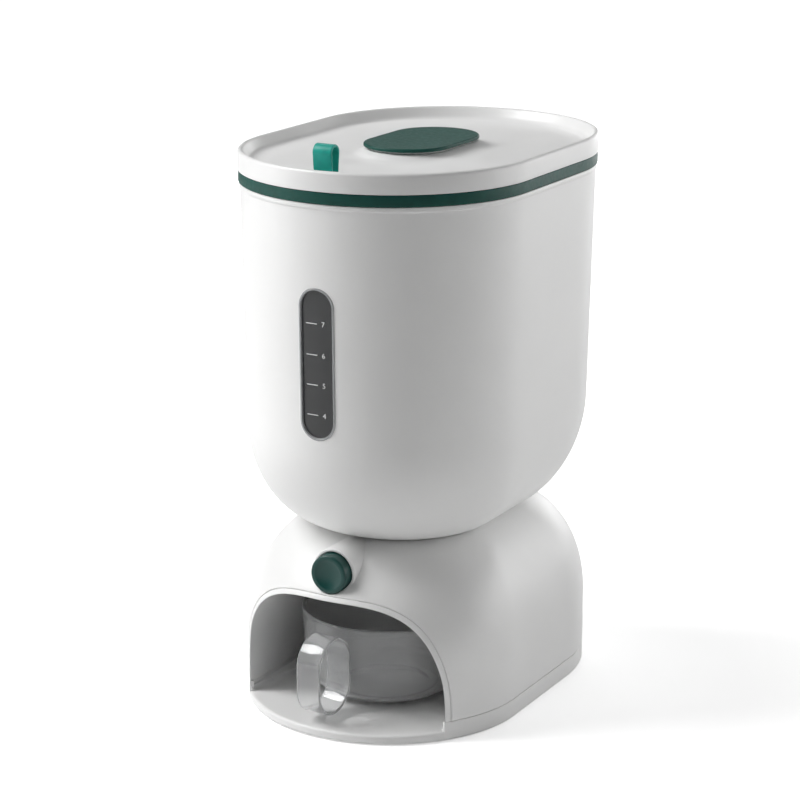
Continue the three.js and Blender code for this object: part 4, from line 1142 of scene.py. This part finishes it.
def seal_piece():
    """The lid seal: the band that shows between tank and lid, and the plug with two soft ribs inside."""
    s = STRAIGHT * LID_RADIUS
    r = SEAL_HIGH[0]
    low, high = SEAL_LOW[2], SEAL_HIGH[2]
    ledge = TANK_TOP + SEAM
    plug = TANK_RIM_RADIUS - WALL - 0.75
    inner = 99.0
    corners = [
        (plug, s, ledge), (r, s, ledge), (r, s, high), (inner, s, high), (inner, s, low),
        (plug - 0.6, s, low),
        (plug, s, low + 1.4), (plug - 0.5, s, low + 2.4), (plug, s, low + 3.4)]
    cuts = [0.3, 0.7, 0.7, 0.5, 0.5, 0.5, 0.5, 0.4, 0.4]
    rows = eased_ring(corners, cuts, 6)
    oval_solid("seal_band", rows, "lid", "green_rubber", ["lid_seal"])


def pad_piece(sizes):
    """The soft absorber cap: an oval pad with a low crown, rounded edge and a plug below."""
    crown = sizes.pad_crown / MM
    high, low = PAD_HIGH[2], PAD_LOW[2]
    under = high - 3.2
    r = PAD_RADIUS
    plug = POCKET_RADIUS - 2.6
    k = np.linspace(0, 0.93, 12)
    cap = [(r * t, PAD_STRAIGHT * min(1.0, t * 1.4), high - crown * t ** 2) for t in k]
    cap[0] = (1e-4, 0.0, high)
    shoulder = eased(
        [cap[-1], (r, PAD_STRAIGHT, high - crown), (r, PAD_STRAIGHT, under), (plug, PAD_STRAIGHT, under),
         (plug, PAD_STRAIGHT, low), (1e-4, PAD_STRAIGHT, low), (1e-4, 0.0, low)], [1.5, 0.8, 0.4,
         0.6, 0], 7)
    rows = np.concatenate([cap[:-1], shoulder])
    points = oval_points(rows, full_round(32, 12))
    quads = grid_quads(len(rows), points.shape[1], False, True)
    build("absorber_pad", points, quads, "absorber_cap", "green_rubber", ["absorber_cap"])


def tab_piece():
    """The silicone pull tab: an upright loop of strap, round at the top and pinched towards its foot."""
    middle = (TAB_LOW + TAB_HIGH) / 2
    size = TAB_HIGH - TAB_LOW
    points = strap_points(size[1], size[2], size[0], TAB_STRAP, 0.75, 36)
    down = np.clip((size[1] / 2 - points[..., 2]) / size[2], 0, 1)
    points[..., 1] *= 1 - 0.55 * down ** 1.3
    points = points + middle
    quads = grid_quads(points.shape[0], points.shape[1], True, True)
    build("pull_loop", points, quads, "lid", "bright_silicone", ["pull_tab"], sharp=50)


# ---- measuring cup ----
def cup_curve(inset):
    """Profile (radius, height) of the cup's wall: a quarter ellipse at the bottom, then a flared side."""
    a = np.linspace(-np.pi / 2, 0, 22)
    r = CUP_FOOT_RADIUS + (CUP_BELLY_RADIUS - CUP_FOOT_RADIUS - inset) * np.cos(a)
    z = CUP_BELLY_HEIGHT + (CUP_BELLY_HEIGHT - CUP_FOOT_HEIGHT - inset) * np.sin(a)
    side = np.linspace(0, 1, 10)[1:]
    sr = r[-1] + (CUP_RIM_RADIUS - CUP_BELLY_RADIUS) * side
    sz = z[-1] + (CUP_HEIGHT - 1.0 - z[-1]) * side
    return np.column_stack([np.concatenate([r, sr]), np.concatenate([z, sz])])


def turn_cup(points):
    """Turns points about the cup's axis to the handle's angle and moves them to its place in the bay."""
    c, s = np.cos(CUP_TURN), np.sin(CUP_TURN)
    x, y, z = points[..., 0], points[..., 1], points[..., 2]
    return np.stack([c * x - s * y, s * x + c * y + CUP_CENTRE, z + CUP_BOTTOM], -1)


def cup_pieces():
    """The clear measuring cup: a turned bowl with a rounded rim, and its loop handle."""
    outside = cup_curve(0.0)
    inside = cup_curve(CUP_WALL)[::-1]
    rim_r = (outside[-1, 0] + inside[0, 0]) / 2
    a = np.linspace(0, np.pi, 8)[1:-1]
    rim = np.column_stack([rim_r + CUP_WALL / 2 * np.cos(a), CUP_HEIGHT - 1.0 + np.sin(a)])
    foot = np.array([(1e-4, 0.5), (30.0, 0.5), (31.5, 0.3), (32.5, 0.0), (38.2, 0.0), (39.4, 0.4)])
    floor = np.array([(20.0, inside[-1, 1]), (1e-4, inside[-1, 1])])
    profile = np.concatenate([foot, outside, rim, inside, floor])
    points = turn_cup(turned_points(profile, 144))
    quads = grid_quads(len(profile), 144, False, True)
    build("cup_bowl", points, quads, "cup", "clear_plastic", ["measuring_cup"])
    reach = HANDLE_REACH
    loop = strap_points(reach, HANDLE_HEIGHT, HANDLE_WIDTH, HANDLE_STRAP, 0.9, 44)
    centre_y = -(CUP_RIM_RADIUS - CUP_WALL + 0.3) - reach / 2
    centre_z = CUP_HEIGHT - HANDLE_BELOW_RIM - HANDLE_HEIGHT / 2
    points = turn_cup(loop + (0, centre_y, centre_z))
    quads = grid_quads(points.shape[0], points.shape[1], True, True)
    build("cup_handle", points, quads, "cup", "clear_plastic", ["measuring_cup"], sharp=50)


def strainer_piece():
    """A fan of small domes in five arcs on the cup's wall, below the rim."""
    centres = []
    for ring in range(5):
        count = 5 + 3 * ring
        reach = 4.0 + 4.2 * ring
        spread_angle = np.linspace(-75, 75, count)
        centres.append(np.column_stack([
            reach * np.sin(np.radians(spread_angle)),
            CUP_HEIGHT - 4.0 - reach * np.cos(np.radians(spread_angle))]))
    centres = np.concatenate(centres)
    profile = np.array([(1e-4, 0.5), (0.45, 0.42), (0.8, 0.15), (0.9, -0.3), (1e-4, -0.3)])
    psi = np.linspace(0, 2 * np.pi, 8, endpoint=False)
    across = (profile[:, :1] * np.cos(psi)).ravel()
    up = (profile[:, :1] * np.sin(psi)).ravel()
    height = np.repeat(profile[:, 1], len(psi))
    z = centres[:, 1:] + up
    share = np.clip((z - CUP_BELLY_HEIGHT) / (CUP_HEIGHT - CUP_BELLY_HEIGHT), 0, 1)
    wall = CUP_BELLY_RADIUS - CUP_WALL + (CUP_RIM_RADIUS - CUP_BELLY_RADIUS) * share
    middle = np.radians(232)
    turn = middle + (centres[:, :1] + across) / wall
    r = wall - height
    points = turn_cup(np.stack([r * np.cos(turn), r * np.sin(turn), z], -1))
    one = grid_quads(len(profile), len(psi), False, True)
    quads = (one[None] + (np.arange(len(centres)) * len(across))[:, None, None]).reshape(-1, 4)
    build("cup_strainer", points, quads, "cup", "clear_plastic")


# ---- inside ----
def block_points(levels, count=9):
    """Points of stacked rounded rectangles (z, half x, half y, corner radius, centre y)."""
    z, hx, hy, rc, cy = (np.asarray(levels, float)[:, k:k + 1] for k in range(5))
    angle = np.concatenate([np.linspace(q, q + 90, count) for q in (0, 90, 180, 270)])
    angle = np.radians(angle)
    sx = np.repeat([1, -1, -1, 1], count)
    sy = np.repeat([1, 1, -1, -1], count)
    x = sx * (hx - rc) + rc * np.cos(angle)
    y = cy + sy * (hy - rc) + rc * np.sin(angle)
    return np.stack([x, y, np.broadcast_to(z, x.shape)], -1)


def hopper_piece():
    """The hopper: a ruled funnel from the tank's oval down to the slot over the gate."""
    low, high = HOPPER_LOW, HOPPER_HIGH
    wide_x, wide_y = high[0], high[1]
    throat_y = -35.0
    throat = [32.4, 8.4, 2.4, throat_y]
    slot = [30.0, 6.0, 1.0, throat_y]
    lip = 2.4
    corners = [
        [low[2], *throat], [142.6, *throat], [high[2] - lip, wide_x, wide_y, wide_x, 0],
        [high[2], wide_x, wide_y, wide_x, 0], [high[2], wide_x - lip, wide_y - lip, wide_x - lip, 0],
        [144.4, *slot], [low[2], *slot]]
    levels = eased_ring(corners, [0.3, 6.0, 0.8, 0.4, 1.2, 6.0, 0.3], 5)
    points = block_points(levels, 14)
    quads = grid_quads(len(levels), points.shape[1], True, True)
    build("hopper_cone", points, quads, "base", "inner_plastic", ["hopper_funnel"])


def gasket_piece():
    """The ring between the cover and the tank, with a rounded outer edge; its dark rubber colour is painted
    shade, standing for the shadow line in the seam between cover and tank.
    """
    low, high = GASKET_LOW[2], GASKET_HIGH[2]
    r = NECK_RING_RADIUS
    s = STRAIGHT * r
    rows = eased_ring(
        [(r, s, low), (r, s, high), (r - 8, s, high), (r - 8, s, low)], [0.9, 0.9, 0.3, 0.3], 6)
    # dark rubber here is painted shade: it stands for the shadow in the neck's seam
    oval_solid("neck_shade_ring", rows, "base", "dark_rubber", ["neck_gasket"])


def finish_frame_parts():
    """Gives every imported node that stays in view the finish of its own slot."""
    slots = {part["node"]: part["material_slot"] for part in frame["record"]["subparts"]}
    for name, part in frame["nodes"].items():
        if part.hide_render:
            continue
        part.data.materials.clear()
        part.data.materials.append(finish(slots[name]))


# ---- studio ----
def look_at(place, target):
    """Rotation that points an object's -Z from a place to a target."""
    return (Vector(target) - Vector(place)).to_track_quat("-Z", "Y")


def area_light(name, place, target, width, height, power, colour=(1, 1, 1)):
    """A soft box."""
    light = bpy.data.lights.new(name, "AREA")
    light.shape = "RECTANGLE"
    light.size = width
    light.size_y = height
    light.energy = power
    light.color = colour
    holder = bpy.data.objects.new(name, light)
    holder.location = place
    holder.rotation_mode = "QUATERNION"
    holder.rotation_quaternion = look_at(place, target)
    bpy.context.scene.collection.objects.link(holder)
    return holder


def floor_piece(name, height, glow):
    """A wide pale floor at a height in millimetres, with a faint glow of its own."""
    line = np.linspace(-6000.0, 6000.0, 9)
    x, y = np.meshgrid(line, line)
    points = np.stack([x, y, 0 * x + height], -1).reshape(-1, 3)
    mesh = fill_mesh(name, points, grid_quads(9, 9))
    material, tree, shader, place = new_material(name + "_pale")
    shader.inputs["Roughness"].default_value = 0.9
    shader.inputs["Specular IOR Level"].default_value = 0.1
    tree.links.new(
        two_tone(tree, spread(tree, noise(tree, place, 3, 2), 0, 1), (0.93, 0.93, 0.93), (0.95, 0.95, 0.95)),
        
        shader.inputs["Base Color"])
    shader.inputs["Emission Color"].default_value = (1, 1, 1, 1)
    shader.inputs["Emission Strength"].default_value = glow
    if glow:
        away = tree.nodes.new("ShaderNodeVectorMath")
        away.operation = "LENGTH"
        tree.links.new(place, away.inputs[0])
        level = tree.nodes.new("ShaderNodeMapRange")
        level.inputs["From Min"].default_value = 0.25
        level.inputs["From Max"].default_value = 0.8
        level.inputs["To Min"].default_value = glow
        level.inputs["To Max"].default_value = 1.0
        tree.links.new(away.outputs["Value"], level.inputs["Value"])
        tree.links.new(level.outputs["Result"], shader.inputs["Emission Strength"])
    mesh.materials.append(material)
    floor = bpy.data.objects.new(name, mesh)
    bpy.context.scene.collection.objects.link(floor)
    return floor


def floor_pieces():
    """The floor that is seen, which casts no light on the object, and the one below it that does."""
    seen = floor_piece("floor", 0.0, FLOOR_GLOW)
    seen.visible_diffuse = False
    seen.visible_glossy = False
    seen.visible_transmission = False
    seen.visible_shadow = False
    under = floor_piece("floor_bounce", -0.5, 0.0)
    under.visible_camera = False


def world_light():
    """A plain surround: white where it is seen, dim where it lights the object."""
    world = bpy.data.worlds.new("surround")
    world.use_nodes = True
    tree = world.node_tree
    path = tree.nodes.new("ShaderNodeLightPath")
    level = tree.nodes.new("ShaderNodeMapRange")
    level.inputs["To Min"].default_value = 0.03
    level.inputs["To Max"].default_value = 1.0
    tree.links.new(path.outputs["Is Camera Ray"], level.inputs["Value"])
    back = tree.nodes["Background"]
    back.inputs["Color"].default_value = (1, 1, 1, 1)
    tree.links.new(level.outputs["Result"], back.inputs["Strength"])
    bpy.context.scene.world = world


def soft_boxes():
    """Square soft boxes about the object: a high key at the left, low side lights and weak fills.

    Each has a bearing from the camera and a rise, in degrees, and a share of the key's power.
    """
    low = [(bearing, 8, 1 / 4) for bearing in (-90, 90, 120, 150)]
    high = [(-90, 45, 1), (180, 45, 1 / 6), (0, 45, 1 / 12), (90, 45, 1 / 20)]
    centre = np.array(LIGHT_CENTRE)
    for number, (bearing, rise, share) in enumerate(low + high, 1):
        a, e = np.radians(CAMERA_BEARING + bearing), np.radians(rise)
        way = np.array([np.sin(a) * np.cos(e), -np.cos(a) * np.cos(e), np.sin(e)])
        place = centre + LIGHT_DISTANCE * way
        area_light(f"soft_box_{number}", place, centre, LIGHT_SIZE, LIGHT_SIZE, KEY_POWER * share)


def camera_piece():
    """The camera: set at a given place, turned by azimuth and elevation, with a slight roll."""
    azimuth, elevation, roll = np.radians((CAMERA_BEARING, CAMERA_RISE, CAMERA_ROLL))
    back = np.array([
        np.sin(azimuth) * np.cos(elevation), -np.cos(azimuth) * np.cos(elevation), np.sin(elevation)])
    right = np.array([np.cos(azimuth), np.sin(azimuth), 0.0])
    up = np.cross(back, right)
    right2 = right * np.cos(roll) + up * np.sin(roll)
    up2 = up * np.cos(roll) - right * np.sin(roll)
    data = bpy.data.cameras.new("camera")
    data.lens = CAMERA_LENS
    data.sensor_width = 36.0
    data.clip_start = 0.05
    holder = bpy.data.objects.new("camera", data)
    place = CAMERA_PLACE
    holder.matrix_world = Matrix((
        (right2[0], up2[0], back[0], place[0]), (right2[1], up2[1], back[1], place[1]),
        (right2[2], up2[2], back[2], place[2]), (0, 0, 0, 1)))
    bpy.context.scene.collection.objects.link(holder)
    bpy.context.scene.camera = holder


# ---- operators ----
class DISPENSER_OT_tank(bpy.types.Operator):
    """Build the tank's wall"""

    bl_idname = "dispenser.tank"
    bl_label = "Tank"

    def execute(self, context):
        tank_piece()
        return {"FINISHED"}


class DISPENSER_OT_window(bpy.types.Operator):
    """Build the sight window, its border and its level marks"""

    bl_idname = "dispenser.window"
    bl_label = "Window"

    def execute(self, context):
        sizes = context.scene.dispenser_sizes
        window_pieces(sizes)
        window_marks(sizes)
        return {"FINISHED"}


class DISPENSER_OT_base(bpy.types.Operator):
    """Build the domed cover, the button's collar, the bay, the tray and the feet"""

    bl_idname = "dispenser.base"
    bl_label = "Base"

    def execute(self, context):
        cover_piece()
        collar_piece()
        liner_piece()
        tray_floor_piece()
        tray_skirt_piece()
        tray_plate_piece()
        foot_pieces()
        return {"FINISHED"}


class DISPENSER_OT_button(bpy.types.Operator):
    """Build the push button and its spring"""

    bl_idname = "dispenser.button"
    bl_label = "Button"

    def execute(self, context):
        button_piece(context.scene.dispenser_sizes)
        spring_piece()
        return {"FINISHED"}


class DISPENSER_OT_lid(bpy.types.Operator):
    """Build the lid, its seal, the absorber pad and the pull tab"""

    bl_idname = "dispenser.lid"
    bl_label = "Lid"

    def execute(self, context):
        lid_piece()
        lid_plate_piece()
        seal_piece()
        pad_piece(context.scene.dispenser_sizes)
        tab_piece()
        return {"FINISHED"}


class DISPENSER_OT_cup(bpy.types.Operator):
    """Build the measuring cup"""

    bl_idname = "dispenser.cup"
    bl_label = "Measuring cup"

    def execute(self, context):
        cup_pieces()
        strainer_piece()
        return {"FINISHED"}


class DISPENSER_OT_inside(bpy.types.Operator):
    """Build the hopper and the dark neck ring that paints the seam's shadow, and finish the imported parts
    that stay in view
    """

    bl_idname = "dispenser.inside"
    bl_label = "Inside"

    def execute(self, context):
        hopper_piece()
        gasket_piece()
        finish_frame_parts()
        return {"FINISHED"}


class DISPENSER_OT_studio(bpy.types.Operator):
    """Set the floor, the lights and the camera"""

    bl_idname = "dispenser.studio"
    bl_label = "Studio"

    def execute(self, context):
        floor_pieces()
        world_light()
        soft_boxes()
        context.scene.view_settings.view_transform = "Standard"
        camera_piece()
        return {"FINISHED"}


STEPS = ("tank", "window", "base", "button", "lid", "cup", "inside", "studio")


class DISPENSER_PT_parts(bpy.types.Panel):
    """Lists the steps that build the dispenser"""

    bl_idname = "DISPENSER_PT_parts"
    bl_label = "Dispenser"
    bl_space_type = "VIEW_3D"
    bl_region_type = "UI"
    bl_category = "Dispenser"

    def draw(self, context):
        column = self.layout.column()
        for step in STEPS:
            column.operator("dispenser." + step)
        for group in (context.scene.dispenser_sizes, context.scene.dispenser_colours):
            for key in group.bl_rna.properties.keys():
                if key not in {"rna_type", "name"}:
                    column.prop(group, key)


CLASSES = (
    DispenserSizes, DispenserColours, DISPENSER_OT_tank, DISPENSER_OT_window, DISPENSER_OT_base,
    DISPENSER_OT_button, DISPENSER_OT_lid, DISPENSER_OT_cup, DISPENSER_OT_inside, DISPENSER_OT_studio,
    DISPENSER_PT_parts,
)


def register():
    """Adds the classes and the scene's settings."""
    for item in CLASSES:
        bpy.utils.register_class(item)
    bpy.types.Scene.dispenser_sizes = PointerProperty(type=DispenserSizes)
    bpy.types.Scene.dispenser_colours = PointerProperty(type=DispenserColours)


def unregister():
    """Removes them again."""
    del bpy.types.Scene.dispenser_colours
    del bpy.types.Scene.dispenser_sizes
    for item in reversed(CLASSES):
        bpy.utils.unregister_class(item)


def main():
    """Builds everything in order."""
    register()
    for step in STEPS:
        getattr(bpy.ops.dispenser, step)()


if __name__ == "__main__":
    main()
